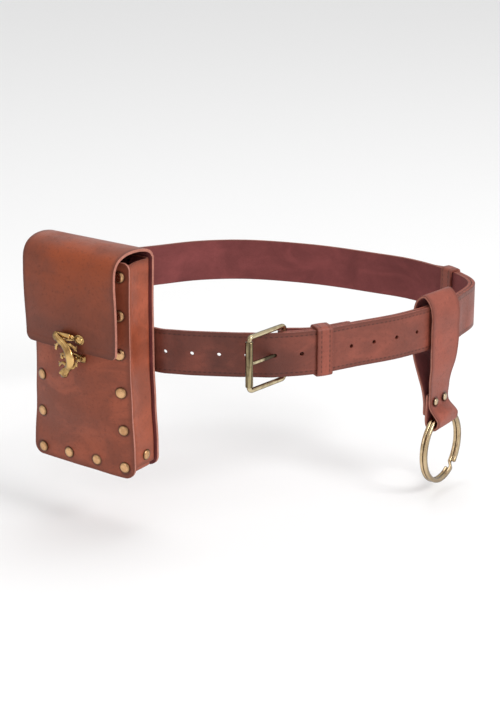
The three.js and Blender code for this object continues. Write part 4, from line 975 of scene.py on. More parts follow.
def back_and_flap_piece(mats):
    """The back panel, the arch and the flap as one grid: rows along the leather, columns across it."""
    ups = np.concatenate([POUCH_BOTTOM + corner_rows(PANEL_CORNER),
                          np.linspace(POUCH_BOTTOM + PANEL_CORNER, POUCH_TOP - 1.5, 70)[1:]])
    reach, rise, fall = FLAP_REACH - MIDDLE, FLAP_TOP - MIDDLE - POUCH_TOP, POUCH_TOP - FLAP_BOTTOM
    over = np.stack([FLAP_ROWS[:, 0] * reach, POUCH_TOP + FLAP_ROWS[:, 1] * rise], 1)
    hang = np.stack([FLAP_FALL[:, 0] * reach, POUCH_TOP - FLAP_FALL[:, 1] * fall], 1)
    curve = spaced(spline(np.vstack([[MIDDLE, ups[-1]], over, hang]), steps=40), 130)[1:]
    last = curve[-1]
    body = curve[:int(np.nonzero(curve[:, 1] - last[1] > FLAP_CORNER)[0][-1]) + 1]
    tip = np.stack([np.full(9, last[0]), last[1] + corner_rows(FLAP_CORNER)[::-1]], 1)
    line = np.vstack([np.stack([np.full(len(ups), MIDDLE), ups], 1), body, tip])
    run = lengths(line)
    is_flap = np.arange(len(line)) >= len(ups)
    from_start = line[:, 1] - POUCH_BOTTOM
    from_end = run[-1] - run
    full = np.where(is_flap, POUCH_HALF, half_width(np.minimum(line[:, 1], POUCH_TOP)))
    half = np.where(is_flap, rounded(full, from_end, FLAP_CORNER), rounded(full, from_start, PANEL_CORNER))
    t = np.linspace(-1, 1, FLAP_COLUMNS)
    x = half[:, None] * t
    out, up = (np.broadcast_to(line[:, k:k + 1], x.shape) for k in (0, 1))
    skew = FLAP_SKEW * ease(out / FLAP_REACH) * (x / POUCH_HALF) ** 3
    hanging = ease((out - reach * 0.9) / 4) * ease((POUCH_TOP - up) / 30)
    top_wave = 0.4 * np.sin(x / 27 + 0.8) * ease(out / 20)
    wave = hanging * (0.5 * np.sin(up / 13 + 1.2) * t + 0.35 * np.cos(x / 17)) + top_wave
    points = POUCH_SEAT.place(x, out + skew + wave, up)
    near = np.where(is_flap[:, None], FAR, rivet_distance(x, up, rivet_spots()))
    edge = np.minimum(half[:, None] - np.abs(x), np.minimum(run, from_end)[:, None])
    piece = build("pouch_back_and_flap_leather", points, quads(len(line), len(t)), mats,
                  uv=np.stack([x, np.broadcast_to(run[:, None], x.shape)], -1),
                  fields={"edge": edge, "run": np.broadcast_to(run[:, None], x.shape), "rivet": near})
    thicken(piece, LEATHER, EDGE_ROUND)
    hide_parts("pouch_back_flap")


def quarter(count=7):
    """A quarter turn from straight on to square: the sine, and one less the cosine."""
    turn = np.linspace(0, np.pi / 2, count)
    return np.sin(turn), 1 - np.cos(turn)


def gusset_sides(mats):
    """Both side gussets: a strip folded at each panel, bowed in a little between."""
    ups = np.linspace(GUSSET_BOTTOM, POUCH_TOP - GUSSET_BELOW_TOP, 90)
    first, second = quarter()
    for hand, name in ((-1, "gusset_left"), (1, "gusset_right")):
        wall = half_width(ups) - GUSSET_INSET - GUSSET_THICK / 2
        start, turn = wall - GUSSET_FLANGE, wall - GUSSET_BEND
        behind = MIDDLE + SEAT_GAP + GUSSET_THICK / 2
        back = LEATHER + GAP + GUSSET_THICK / 2
        flange = start[:, None] + (turn - start)[:, None] * np.linspace(0, 1, 12)[None, :-1]
        up = np.broadcast_to(ups[:, None], flange.shape)
        flange_out = front_out(flange, up) - behind
        edge_out = (front_out(turn, ups) - behind)[:, None]
        bend_x = turn[:, None] + GUSSET_BEND * first
        front_bend = edge_out - GUSSET_BEND * second
        side = np.linspace(0, 1, 14)[1:-1]
        low = edge_out - GUSSET_BEND
        high = back + GUSSET_BEND
        side_out = low + (high - low) * side
        bow = 1.5 * np.sin(np.pi * side) * ease((ups + 92) / 60)[:, None]
        side_x = (turn + GUSSET_BEND)[:, None] - bow
        back_x, back_out = bend_x[:, ::-1], (back + GUSSET_BEND * second)[None, ::-1] + 0 * bend_x
        last_x = start[:, None] + (turn - start)[:, None] * np.linspace(1, 0, 8)[None, 1:]
        x = np.concatenate([flange, bend_x, side_x, back_x, last_x], 1)
        out = np.concatenate([flange_out, front_bend, side_out, back_out, np.full(last_x.shape, back)], 1)
        up = np.broadcast_to(ups[:, None], x.shape)
        points = POUCH_SEAT.place(hand * x, out, up)
        run = np.concatenate([[0], np.cumsum(np.hypot(np.diff(x[0]), np.diff(out[0])))])
        edge = np.minimum(np.minimum(up - ups[0], ups[-1] - up) + 0.05,
                          np.minimum(run, run[-1] - run)[None, :])
        piece = build(name + "_leather", points, quads(len(ups), x.shape[1], flip=hand > 0), mats,
                      uv=np.stack([np.broadcast_to(run, x.shape), up], -1),
                      fields={"edge": edge, "run": up, "rivet": np.full(x.shape, FAR)})
        thicken(piece, GUSSET_THICK, GUSSET_ROUND)
        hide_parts(name)


def gusset_bottom_piece(mats):
    """The bottom gusset: a channel between the panels, and one across it with a tab up each side."""
    first, second = quarter()
    floor = POUCH_BOTTOM + GUSSET_THICK
    wall = float(half_width(np.array(GUSSET_BOTTOM + TAB_HEIGHT))) - GUSSET_INSET - GUSSET_THICK
    clear = GAP + GUSSET_THICK / 2

    def channel(low, high, top):
        """A strip down from a height, round to the floor, along it and up again."""
        at = np.concatenate([[low], low + GUSSET_BEND * second, (high - GUSSET_BEND * second)[::-1], [high]])
        up = np.concatenate([[top], floor + GUSSET_BEND * (1 - first),
                             (floor + GUSSET_BEND * (1 - first))[::-1], [top]])
        return at, up

    x = np.linspace(-(wall - GUSSET_FLANGE - 2 * GAP), wall - GUSSET_FLANGE - 2 * GAP, 33)
    rivet_row = np.full_like(x, LOWEST_RIVET + BOTTOM_ROW_RISE)
    front = front_out(x, rivet_row) - MIDDLE - SEAT_GAP - GUSSET_THICK / 2
    rows = [channel(LEATHER + clear, f, floor + TAB_HEIGHT) for f in front]
    at, up = np.stack([r[0] for r in rows]), np.stack([r[1] for r in rows])
    points = POUCH_SEAT.place(np.broadcast_to(x[:, None], at.shape), at, up)
    side = wall - clear
    front_at = float(front_out(np.array(side), np.array(GUSSET_BOTTOM)))
    depth = np.linspace(LEATHER + GUSSET_THICK + 3 * GAP + GUSSET_BEND,
                        front_at - MIDDLE - SEAT_GAP - GUSSET_THICK - 2 * GAP - GUSSET_BEND, TAB_ROWS)
    tab_at, tab_up = channel(-side, side, GUSSET_BOTTOM + TAB_HEIGHT)
    tab = POUCH_SEAT.place(tab_at, depth[:, None], tab_up)
    base = at.size
    faces = np.vstack([quads(*at.shape), quads(TAB_ROWS, len(tab_at), flip=True) + base])
    all_points = np.vstack([points.reshape(-1, 3), tab.reshape(-1, 3)])
    blank = np.full(len(all_points), 9.0)
    piece = build("gusset_bottom_leather", all_points, faces, mats, uv=all_points[:, :2],
                  fields={"edge": blank, "run": blank, "rivet": blank + 90})
    thicken(piece, GUSSET_THICK, TAB_ROUND)
    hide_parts("gusset_bottom")


def belt_loop_piece(mats):
    """The loop behind the pouch: flat where it is riveted, standing over the belt between."""
    room = STAND_OFF + BELT_THICK + SLIDE + LOOP_THICK / 2
    seat = GAP + LOOP_THICK / 2
    rise = BELT_WIDTH / 2 + SLIDE + 3
    knots = np.array([(-LOOP_REACH, seat), (-rise - 2.5, seat), (-rise, seat + 0.6), (-rise + 2.2, room),
                      (0, room + 0.8),
                      (rise - 2.2, room), (rise, seat + 0.6), (rise + 2.5, seat), (LOOP_REACH, seat)])
    ups = np.unique(np.concatenate([knots[:, 0], np.linspace(-LOOP_REACH, LOOP_REACH, 80)]))
    deep = np.interp(ups, knots[:, 0], knots[:, 1])
    x = np.linspace(-LOOP_WIDTH / 2, LOOP_WIDTH / 2, 30)
    grid_x, up = np.meshgrid(x, ups)
    points = POUCH_SEAT.place(grid_x, -np.broadcast_to(deep[:, None], up.shape), up)
    spots = [("", across * (LOOP_WIDTH / 2 - RIVET_INSET), high * LOOP_RIVET_AT)
             for across in (-1, 1) for high in (-1, 1)]
    edge = np.minimum(LOOP_WIDTH / 2 - np.abs(grid_x), LOOP_REACH - np.abs(up))
    piece = build("belt_loop_leather", points, quads(*up.shape), mats, uv=np.stack([grid_x, up], -1),
                  fields={"edge": edge, "run": up, "rivet": rivet_distance(grid_x, up, spots)})
    thicken(piece, LOOP_THICK, BAND_ROUND)
    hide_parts("pouch_belt_loop")


def pouch_axes():
    """The pouch's directions across, out and up."""
    c, s = math.cos(POUCH_SEAT.angle), math.sin(POUCH_SEAT.angle)
    return np.array([c, s, 0.0]), np.array([s, -c, 0.0]), np.array([0.0, 0.0, 1.0])


def pouch_rivets(metal):
    """The rivets of the front, the back, the sides and the belt loop, each set square to its leather."""
    across, out, up_axis = pouch_axes()
    front, back, front_names, back_names = [], [], [], []
    for name, x, up in rivet_spots():
        slope = float(front_out(np.array(x + 1), np.array(up)) - front_out(np.array(x - 1), np.array(up))) / 2
        normal = out - slope * across
        normal /= np.linalg.norm(normal)
        tangent = np.cross(normal, up_axis) * -1
        face = float(front_out(np.array(x), np.array(up))) + MIDDLE
        front.append((POUCH_SEAT.place(x, face + GAP * 0.3, up), tangent, normal, up_axis))
        front_names.append("rivet_front_" + name)
        back.append((POUCH_SEAT.place(x, -GAP * 0.3, up), -across, -out, up_axis))
        back_names.append("rivet_back_" + name)
    rivet_field("rivets_front", front, RIVET_RADIUS, RIVET_DOME * 0.75, metal, front_names, 3)
    rivet_field("rivets_back", back, RIVET_RADIUS, 0.9, metal, back_names, 5)
    side_up = GUSSET_BOTTOM + 8
    side_out = (POUCH_DEPTH + LEATHER) * 0.42
    sides, names = [], []
    for hand, name in ((-1, "left"), (1, "right")):
        x = hand * (float(half_width(np.array(side_up))) - GUSSET_INSET + GAP * 0.3)
        sides.append((POUCH_SEAT.place(x, side_out, side_up), -hand * out, hand * across, up_axis))
        names.append("rivet_side_" + name)
    rivet_field("rivets_side", sides, RIVET_RADIUS, RIVET_DOME * 0.75, metal, names, 7)
    loop, names = [], []
    for high, label in ((-1, "low"), (1, "high")):
        for hand, side in ((-1, "left"), (1, "right")):
            x = hand * (LOOP_WIDTH / 2 - RIVET_INSET)
            loop.append((POUCH_SEAT.place(x, -LOOP_THICK - 1.3 * GAP, high * LOOP_RIVET_AT), -across, -out,
                         up_axis))
            names.append(f"rivet_loop_{label}_{side}")
    rivet_field("rivets_loop", loop, RIVET_RADIUS * 0.9, 0.9, metal, names, 9)


# Clasp

def ball(centre, radii, rings=10, sides=16):
    """An ellipsoid round a point."""
    angle = np.linspace(0, np.pi, rings)[1:-1, None]
    turn = np.linspace(0, 2 * np.pi, sides, endpoint=False)[None, :]
    cx, cy, cz = centre
    rx, ry, rz = radii
    points = np.stack([cx + rx * np.sin(angle) * np.cos(turn), cy + ry * np.sin(angle) * np.sin(turn),
                       cz + rz * np.cos(angle) + 0 * turn], -1).reshape(-1, 3)
    count = rings - 2
    points = np.vstack([points, [(cx, cy, cz + rz)], [(cx, cy, cz - rz)]])
    faces = [list(f) for f in quads(count, sides, wrap_columns=True)]
    last = (count - 1) * sides
    for j in range(sides):
        k = (j + 1) % sides
        faces.append([k, j, count * sides])
        faces.append([last + j, last + k, count * sides + 1])
    return points, faces


def fused(piece):
    """Joins a piece's overlapping balls and tubes into one skin, and smooths it as a casting is."""
    remesh = piece.modifiers.new("one skin", "REMESH")
    remesh.mode = "VOXEL"
    remesh.voxel_size = CAST_CELL * MM
    remesh.use_smooth_shade = True
    smoothing = piece.modifiers.new("cast surface", "SMOOTH")
    smoothing.factor = 0.5
    smoothing.iterations = CAST_ROUNDS
    bpy.context.view_layer.update()
    graph = bpy.context.evaluated_depsgraph_get()
    mesh = bpy.data.meshes.new_from_object(piece.evaluated_get(graph))
    old = piece.data
    materials = list(old.materials)
    piece.modifiers.clear()
    piece.data = mesh
    bpy.data.meshes.remove(old)
    mesh.materials.clear()
    for material in materials:
        mesh.materials.append(material)


def hollow_field(piece):
    """Marks the hollows: where a point lies below the mean of its neighbours, over a few rounds."""
    mesh = piece.data
    count = len(mesh.vertices)
    co = np.empty(count * 3)
    mesh.vertices.foreach_get("co", co)
    co = co.reshape(-1, 3)
    normal = np.empty(count * 3)
    mesh.vertices.foreach_get("normal", normal)
    normal = normal.reshape(-1, 3)
    edges = np.empty(len(mesh.edges) * 2, np.int64)
    mesh.edges.foreach_get("vertices", edges)
    a, b = edges.reshape(-1, 2).T
    degree = np.bincount(np.concatenate([a, b]), minlength=count).astype(float)
    smooth = co.copy()
    for _ in range(HOLLOW_ROUNDS):
        sums = [np.bincount(a, smooth[b, k], count) + np.bincount(b, smooth[a, k], count) for k in range(3)]
        smooth = np.stack(sums, 1) / degree[:, None]
    depth = np.einsum("ij,ij->i", smooth - co, normal) / MM
    layer = mesh.attributes.new("hollow", "FLOAT", "POINT")
    layer.data.foreach_set("value", np.clip(depth / HOLLOW_DEPTH, 0, 1).astype(np.float32))


# Shares of the arm's length: side, down, out, and the half width in millimetres
LIZARD_BODY = np.array([(-0.19, -0.03, 0.09, 1.9), (-0.12, 0.05, 0.095, 2.6), (0.03, 0.17, 0.08, 3.0),
                        (0.13, 0.29, 0.08, 3.4), (0.19, 0.42, 0.085, 3.8), (0.21, 0.54, 0.08, 3.7),
                        (0.175, 0.66, 0.07, 3.2),
                        (0.1, 0.76, 0.05, 2.7), (0.03, 0.83, 0.045, 3.2), (-0.015, 0.89, 0.04, 3.7),
                        (-0.045, 0.945, 0.03, 2.8), (-0.065, 0.985, 0.015, 1.5)])
# Each leg's hip, knee, foot and toe: side and down, as shares of the arm's length
LIZARD_LEGS = [((0.02, 0.17), (-0.15, 0.19), (-0.24, 0.3), (-0.25, 0.37)),
               ((0.06, 0.2), (0.2, 0.17), (0.29, 0.25), (0.3, 0.3)),
               ((0.12, 0.44), (-0.03, 0.42), (-0.09, 0.5), (-0.06, 0.56)),
               ((0.13, 0.7), (-0.03, 0.64), (-0.13, 0.7), (-0.17, 0.75)),
               ((0.15, 0.7), (0.26, 0.7), (0.3, 0.62), (0.33, 0.58))]


# How far a leg's joints stand out, as shares of the arm's length, and its radii in millimetres along it
LEG_OUT = (0.06, 0.045, 0.02, 0.01)
LEG_PLACES, LEG_RADII = [0, 0.3, 0.75, 1], [1.75, 1.5, 1.2, 1.0]
# The head and the snout: side, down and out as shares of the arm's length, and the radii in millimetres
BODY_SCALE, BODY_FLAT, WIDTH_WEIGHT, LEG_FLAT = 1.12, 0.72, 0.05, 0.9
LIZARD_HEAD = [((0.0, 0.87, 0.06), (3.9, 2.1, 3.4)), ((-0.055, 0.955, 0.045), (1.9, 1.3, 1.8))]
EYE_SIDE, EYE_SPREAD, EYE_DOWN, EYE_OUT, EYE_RADII = -0.01, 0.065, 0.875, 0.1, (1.35, 1.1, 1.35)
FOOT_OUT, FOOT_RADII = 0.012, (1.7, 1.1, 1.4)
TOE_SPREADS, TOE_REACH, TOE_OUTS, TOE_RADII = (-0.05, 0.0, 0.05), 0.055, (0.01, 0.005), [0.75, 0.55]
# The knobs down the back: first and last place, how many, how far out of the half width, and their radii
KNOB_PLACES, KNOB_OUT, KNOB_RADII = (0.18, 0.7, 9), 0.62, (0.75, 0.65, 0.95)
# The steps of the crossbar's ears and of the catch's knobs: how far out, and the radii in millimetres
EAR_STEPS = ((0, (5.1, 1.2, 4.5)), (1.1, (3.9, 1.9, 3.5)))
CATCH_STEPS = ((0.3, (3.6, 1.1, 3.6)), (1.1, (2.7, 1.4, 2.7)))
PLATE_BELOW_PIN, BAR_WIDE, BAR_WAVE, BAR_FLAT = 3.0, 2.4, 0.3, 0.27
LUG_BALL, LUG_RADII, LUG_FLAT = (1.15, 1.9, 2.1), [1.9, 1.8, 1.7], 0.52
AXLE_RADII, AXLE_BEYOND = [0.9, 1.5, PIN_RADIUS, PIN_RADIUS, 1.5, 0.9], 4.2
POST_PLACES, POST_RADII = (0.2, 3, 6, 8.2), [2.6, 2.2, 2.1, 1.7]


def arm_point(side, down, out):
    """A point of the arm from its shares of the arm's length: to the side, down from the pin and out."""
    return np.stack([CLASP_ACROSS + np.asarray(side) * CLASP_LENGTH,
                     CLASP_OUT + 1 + np.asarray(out) * CLASP_LENGTH,
                     PIN_UP - np.asarray(down) * CLASP_LENGTH], -1)


def in_pouch(points):
    """Points of the clasp in the scene, from their sides, outs and ups in the pouch's frame."""
    return POUCH_SEAT.place(points[:, 0], points[:, 1], points[:, 2])


def cast(name, parts, metal, body=BASE):
    """A casting: overlapping balls and tubes made into one skin, with its hollows marked."""
    points, faces = joined(parts)
    piece = build(name, in_pouch(points), faces, [metal], body=body)
    fused(piece)
    hollow_field(piece)
    return piece


def lizard_piece(metal):
    """The arm that swings on the pin: a tapered curved body, a barrel, legs with toes, and a head."""
    spine = spline(LIZARD_BODY * (1, 1, 1, WIDTH_WEIGHT), steps=12)
    path = arm_point(spine[:, 0], spine[:, 1], spine[:, 2])
    parts = [capped_tube(path, BODY_SCALE * spine[:, 3] / WIDTH_WEIGHT, 20, BODY_FLAT, (0, 1, 0))]
    axle = np.array([(CLASP_ACROSS + t, CLASP_OUT, PIN_UP) for t in np.linspace(-1, 1, 9) * ARM_WIDTH / 2])
    parts.append(capped_tube(axle, np.full(9, BARREL), 20))
    for leg in LIZARD_LEGS:
        knots = np.array([(s, d, o) for (s, d), o in zip(leg, LEG_OUT)])
        line = spline(knots, steps=8)
        thick = np.interp(np.linspace(0, 1, len(line)), LEG_PLACES, LEG_RADII)
        parts.append(capped_tube(arm_point(line[:, 0], line[:, 1], line[:, 2]), thick, 12, LEG_FLAT,
                                 (0, 1, 0)))
        foot = arm_point(*leg[2], FOOT_OUT)
        parts.append(ball(foot, FOOT_RADII))
        hand = np.sign(leg[3][0])
        for toe in TOE_SPREADS:
            side, down = leg[2]
            ends = np.array([(side, down, TOE_OUTS[0]),
                             (side + TOE_REACH * hand, down + toe * 1.2, TOE_OUTS[1])])
            parts.append(capped_tube(arm_point(*ends.T), TOE_RADII, 8, 1.0, (0, 1, 0)))
    for place, radii in LIZARD_HEAD:
        parts.append(ball(arm_point(*place), radii))
    for hand in (-1, 1):
        eye = arm_point(EYE_SIDE + hand * EYE_SPREAD, EYE_DOWN, EYE_OUT)
        parts.append(ball(eye, EYE_RADII))
    for down in np.linspace(*KNOB_PLACES):
        side, out, wide = (np.interp(down, LIZARD_BODY[:, 1], LIZARD_BODY[:, k]) for k in (0, 2, 3))
        knob = arm_point(side, down, out) + (0, wide * KNOB_OUT, 0)
        parts.append(ball(knob, KNOB_RADII, 7, 10))
    piece = cast("clasp_lizard", parts, metal, body="clasp_arm")
    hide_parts("clasp_arm")


def crossbar_piece(metal):
    """The plate: a thin wavy bar, a stepped ear at each end, and the two lugs that hold the pin."""
    base = FLAP_FACE + GAP
    plate_up = PIN_UP - PLATE_BELOW_PIN
    parts = []
    x = np.linspace(-EAR_AT, EAR_AT, 15)
    sway = 0.35 * np.sin(x / 3)
    bar = np.stack([CLASP_ACROSS + x, np.full(15, base + 0.55), plate_up + sway], 1)
    parts.append(capped_tube(bar, BAR_WIDE + BAR_WAVE * np.cos(x / 2.2), 16, BAR_FLAT, (0, 1, 0)))
    for hand, low in ((-1, -1.6), (1, 0.4)):
        ear = np.array([CLASP_ACROSS + hand * EAR_AT, base + 0.55, plate_up + low * 0.6])
        for lift, radii in EAR_STEPS:
            parts.append(ball(ear + (0, lift, 0), radii))
        lug_x = CLASP_ACROSS + hand * (ARM_WIDTH / 2 + 2.0)
        lug = np.array([(lug_x - hand * 0.4, base + 0.6, plate_up),
                        (lug_x - hand * 0.3, CLASP_OUT - 1, PIN_UP - 0.4),
                        (lug_x - hand * 0.3, CLASP_OUT, PIN_UP)])
        parts.append(ball(lug[2], LUG_BALL))
        parts.append(capped_tube(lug, LUG_RADII, 12, LUG_FLAT, (1, 0, 0)))
    piece = cast("clasp_crossbar", parts, metal)
    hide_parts("clasp_plate")


def axle_piece(metal):
    """The pin, with a rounded head at each end."""
    reach = ARM_WIDTH / 2 + AXLE_BEYOND
    places = (-reach, -reach + 0.5, -reach + 1.2, reach - 1.2, reach - 0.5, reach)
    heads = np.array([(CLASP_ACROSS + t, CLASP_OUT, PIN_UP) for t in places])
    points, faces = capped_tube(heads, AXLE_RADII, 20)
    piece = build("clasp_axle", in_pouch(points), faces, [metal])
    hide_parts("clasp_pin")


def catch_piece(metal):
    """The catch on the front: a bar that widens to its middle, a stepped knob at each end, and a post."""
    catch_out = float(front_out(np.array(CLASP_ACROSS), np.array(CATCH_UP))) + MIDDLE + GAP
    x = np.linspace(-CATCH_HALF, CATCH_HALF, 13)
    bar = np.stack([CLASP_ACROSS + x, np.full(13, catch_out + 0.5), CATCH_UP + 0.3 * np.cos(x / 3)], 1)
    parts = [capped_tube(bar, 2.6 + 1.2 * np.cos(x / 7.4) ** 2, 16, 0.3, (0, 1, 0))]
    for hand in (-1, 1):
        for lift, radii in CATCH_STEPS:
            parts.append(ball((CLASP_ACROSS + hand * CATCH_BALL_AT, catch_out + lift, CATCH_UP), radii))
    post = np.array([(CLASP_ACROSS + CATCH_POST_AT, catch_out + t, CATCH_UP) for t in POST_PLACES])
    parts.append(capped_tube(post, POST_RADII, 16, 1.0, (0, 0, 1)))
    piece = cast("clasp_catch_bar", parts, metal)
    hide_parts("clasp_catch")


# Hanger and ring

HANGER_LAYER = HANGER_LEATHER + GAP
HANGER_FRONT_OUT = LAYER + BELT_THICK / 2 + HANGER_SLACK + HANGER_LEATHER / 2
HANGER_BACK_OUT = HANGER_FRONT_OUT - HANGER_DEPTH
HANGER_CLAMP = HANGER_FRONT_OUT - HANGER_PULL
RING_WALLS = RING_AXIAL + GAP / 2 + RING_PLAY + HANGER_LEATHER / 2
RING_OUT = HANGER_CLAMP - HANGER_LAYER + RING_WALLS
FOLD_UP = -HANGER_DROP + HANGER_LEATHER / 2 + RING_WALLS


def hanger_share(up):
    """How far the strap has twisted and leant at a height: none at the belt, all at the fold."""
    return ease((-up - BELT_WIDTH / 2) / (HANGER_DROP * 0.6))


def hanger_line(open_to, count):
    """The strap's path as half width, out and up: up its back, over the belt, down and round the ring."""
    rows = [(w * HANGER_HALF, HANGER_CLAMP - 2 * HANGER_LAYER
             + o * (HANGER_BACK_OUT - HANGER_CLAMP + 2 * HANGER_LAYER),
             -d * HANGER_DROP) for o, d, w in HANGER_BACK]
    rows += [(HANGER_HALF, HANGER_FRONT_OUT + o * (HANGER_BACK_OUT - HANGER_FRONT_OUT),
              r * (HANGER_ARCH - HANGER_LEATHER / 2))
             for o, r in HANGER_OVER]
    rows += [(w * HANGER_HALF, HANGER_CLAMP + o * (HANGER_FRONT_OUT - HANGER_CLAMP), -d * HANGER_DROP)
             for o, d, w in HANGER_FRONT]
    fold = FOLD_WIDE * HANGER_HALF
    rows.append((fold, RING_OUT + RING_WALLS, FOLD_UP + open_to))
    turn = np.radians(np.arange(0, 181, 30))
    rows += list(zip(np.full(7, fold), RING_OUT + RING_WALLS * np.cos(turn),
                     FOLD_UP - RING_WALLS * np.sin(turn)))
    end = HANGER_CLAMP - HANGER_LAYER
    rows += [(fold, end, -HANGER_RIVET_DROP - 5), (0.9 * HANGER_HALF, end, -HANGER_RIVET_DROP + 8)]
    return spaced(spline(np.array(rows), steps=24), count)


def hanger_place(x, out, up):
    """The strap's points, leant and turned about the vertical through the ring."""
    share = hanger_share(up)
    turn = share * HANGER_TWIST
    x = x + HANGER_LEAN * share
    deep = out - RING_OUT
    c, s = np.cos(turn), np.sin(turn)
    return HANGER_SEAT.place(c * x + s * deep, RING_OUT - s * x + c * deep, up)


def hanger_piece(mats):
    """The strap as a grid along its path, lifted at the fold's middle, with ripples and dents."""
    count = HANGER_ROWS
    edge_line, centre_line = hanger_line(FOLD_EDGE, count), hanger_line(FOLD_CENTRE, count)
    v = np.linspace(-1, 1, HANGER_COLUMNS)
    weight = (1 - v * v)[None, :, None]
    grid = edge_line[:, None, :] * (1 - weight) + centre_line[:, None, :] * weight
    run = lengths(edge_line[:, 1:])
    half = edge_line[:, :1]
    ends = np.minimum(run, run[-1] - run)
    round_off = np.interp(ends, *HANGER_ENDS)[:, None]
    x = v * grid[..., 0] * round_off
    front = ease((grid[..., 1] - HANGER_CLAMP + 3) / 6)
    creases = 0.35 * np.sin(run[:, None] / 5.5 + v * 1.3) * (1 - np.abs(v)) * ease((run[:, None] - 30) / 20)
    ripple = 0.45 * np.sin(run[:, None] / 21 + 0.7) * v + creases * 0.4
    near = rivet_distance(x, grid[..., 2],
                          [("", hand * HANGER_RIVET_X, -HANGER_RIVET_DROP) for hand in (-1, 1)])
    facing = np.arange(count)[:, None] > count * 0.45
    press = -0.35 * np.exp(-(near / 6.5) ** 2) * np.where(facing, 1, 0)
    calm = ease((near - 4) / 8)
    out = grid[..., 1] + (ripple * calm + press) * np.where(front > 0.5, 1, 0.6)
    points = hanger_place(x, out, grid[..., 2])
    edge = np.minimum(half - np.abs(v) * half, ends[:, None])
    piece = build("hanger_leather", points, quads(count, len(v)), mats,
                  uv=np.stack([np.broadcast_to(run[:, None], x.shape), x], -1),
                  fields={"edge": edge, "run": np.broadcast_to(run[:, None], x.shape),
                          "rivet": np.where(facing, near, FAR)})
    thicken(piece, HANGER_LEATHER, EDGE_ROUND)
    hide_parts("hanger_strap")


def hanger_rivets(metal):
    """Both rivets, each with a head before and behind the strap."""
    share = float(hanger_share(np.array(-HANGER_RIVET_DROP)))
    turn = HANGER_SEAT.angle + share * HANGER_TWIST
    across = np.array([math.cos(turn), math.sin(turn), 0])
    out = np.array([math.sin(turn), -math.cos(turn), 0])
    face = HANGER_CLAMP + HANGER_LEATHER / 2 - 0.05
    places, names = [], []
    for hand, name in ((-1, "left"), (1, "right")):
        at = hanger_place(np.array(hand * HANGER_RIVET_X), np.array(face), np.array(-HANGER_RIVET_DROP))
        places.append((at, across, out, np.array([0, 0, 1.0])))
        deep = face - 2 * HANGER_LAYER - HANGER_LEATHER - GAP
        behind = hanger_place(np.array(hand * HANGER_RIVET_X), np.array(deep), np.array(-HANGER_RIVET_DROP))
        places.append((behind, -across, -out, np.array([0, 0, 1.0])))
        names.append("hanger_rivet_" + name)
    rivet_field("rivets_hanger", places, HANGER_RIVET_RADIUS, RIVET_DOME * 0.62, metal, names, 11)


def ring_piece(metal):
    """The split ring: a wire of squared section round a circle, crossing from one turn to the next."""
    sweep = 720 - RING_CROSSING
    turned = np.linspace(0, sweep, 420)
    angle = np.radians(RING_SPLIT_AT + RING_CROSSING / 2 + turned)
    shift = 2 * ease((turned - (sweep - RING_CROSSING) / 2) / RING_CROSSING) - 1
    offset = (RING_AXIAL + GAP) / 2
    around = np.linspace(0, 2 * np.pi, RING_SIDES, endpoint=False)
    ends = np.minimum(turned, sweep - turned)
    size = np.interp(ends, *RING_ENDS)[:, None]
    radial = RING_RADIAL / 2 * squared_off(np.cos(around), RING_SQUARE)[None, :] * size
    axial = RING_AXIAL / 2 * squared_off(np.sin(around), RING_SQUARE)[None, :] * size
    radius = RING_RADIUS + radial
    x, z = radius * np.cos(angle)[:, None], radius * np.sin(angle)[:, None]
    y = shift[:, None] * offset + axial
    inner = RING_RADIUS - RING_RADIAL / 2
    half_fold = HANGER_HALF * FOLD_WIDE
    sag = inner - math.sqrt(inner ** 2 - half_fold ** 2)
    lift = FOLD_UP - RING_WALLS + HANGER_LEATHER / 2 + RING_LIFT + sag - inner
    c, s = math.cos(HANGER_TWIST), math.sin(HANGER_TWIST)
    x = x + HANGER_LEAN
    points = HANGER_SEAT.place(c * x - s * y, RING_OUT - s * x - c * y, z + lift)
    faces = closed_rings(len(turned), RING_SIDES)
    # Painted dark reflection: the wire darkens down the middle of its front and back faces.
    hollow = np.broadcast_to(np.clip(np.abs(np.sin(around)) * 1.6 - 0.9, 0, 1) * 0.35, x.shape)
    piece = build("split_ring", points, faces, [metal], fields={"hollow": hollow}, body="ring")
    outward(piece)
    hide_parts("ring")


# Stage

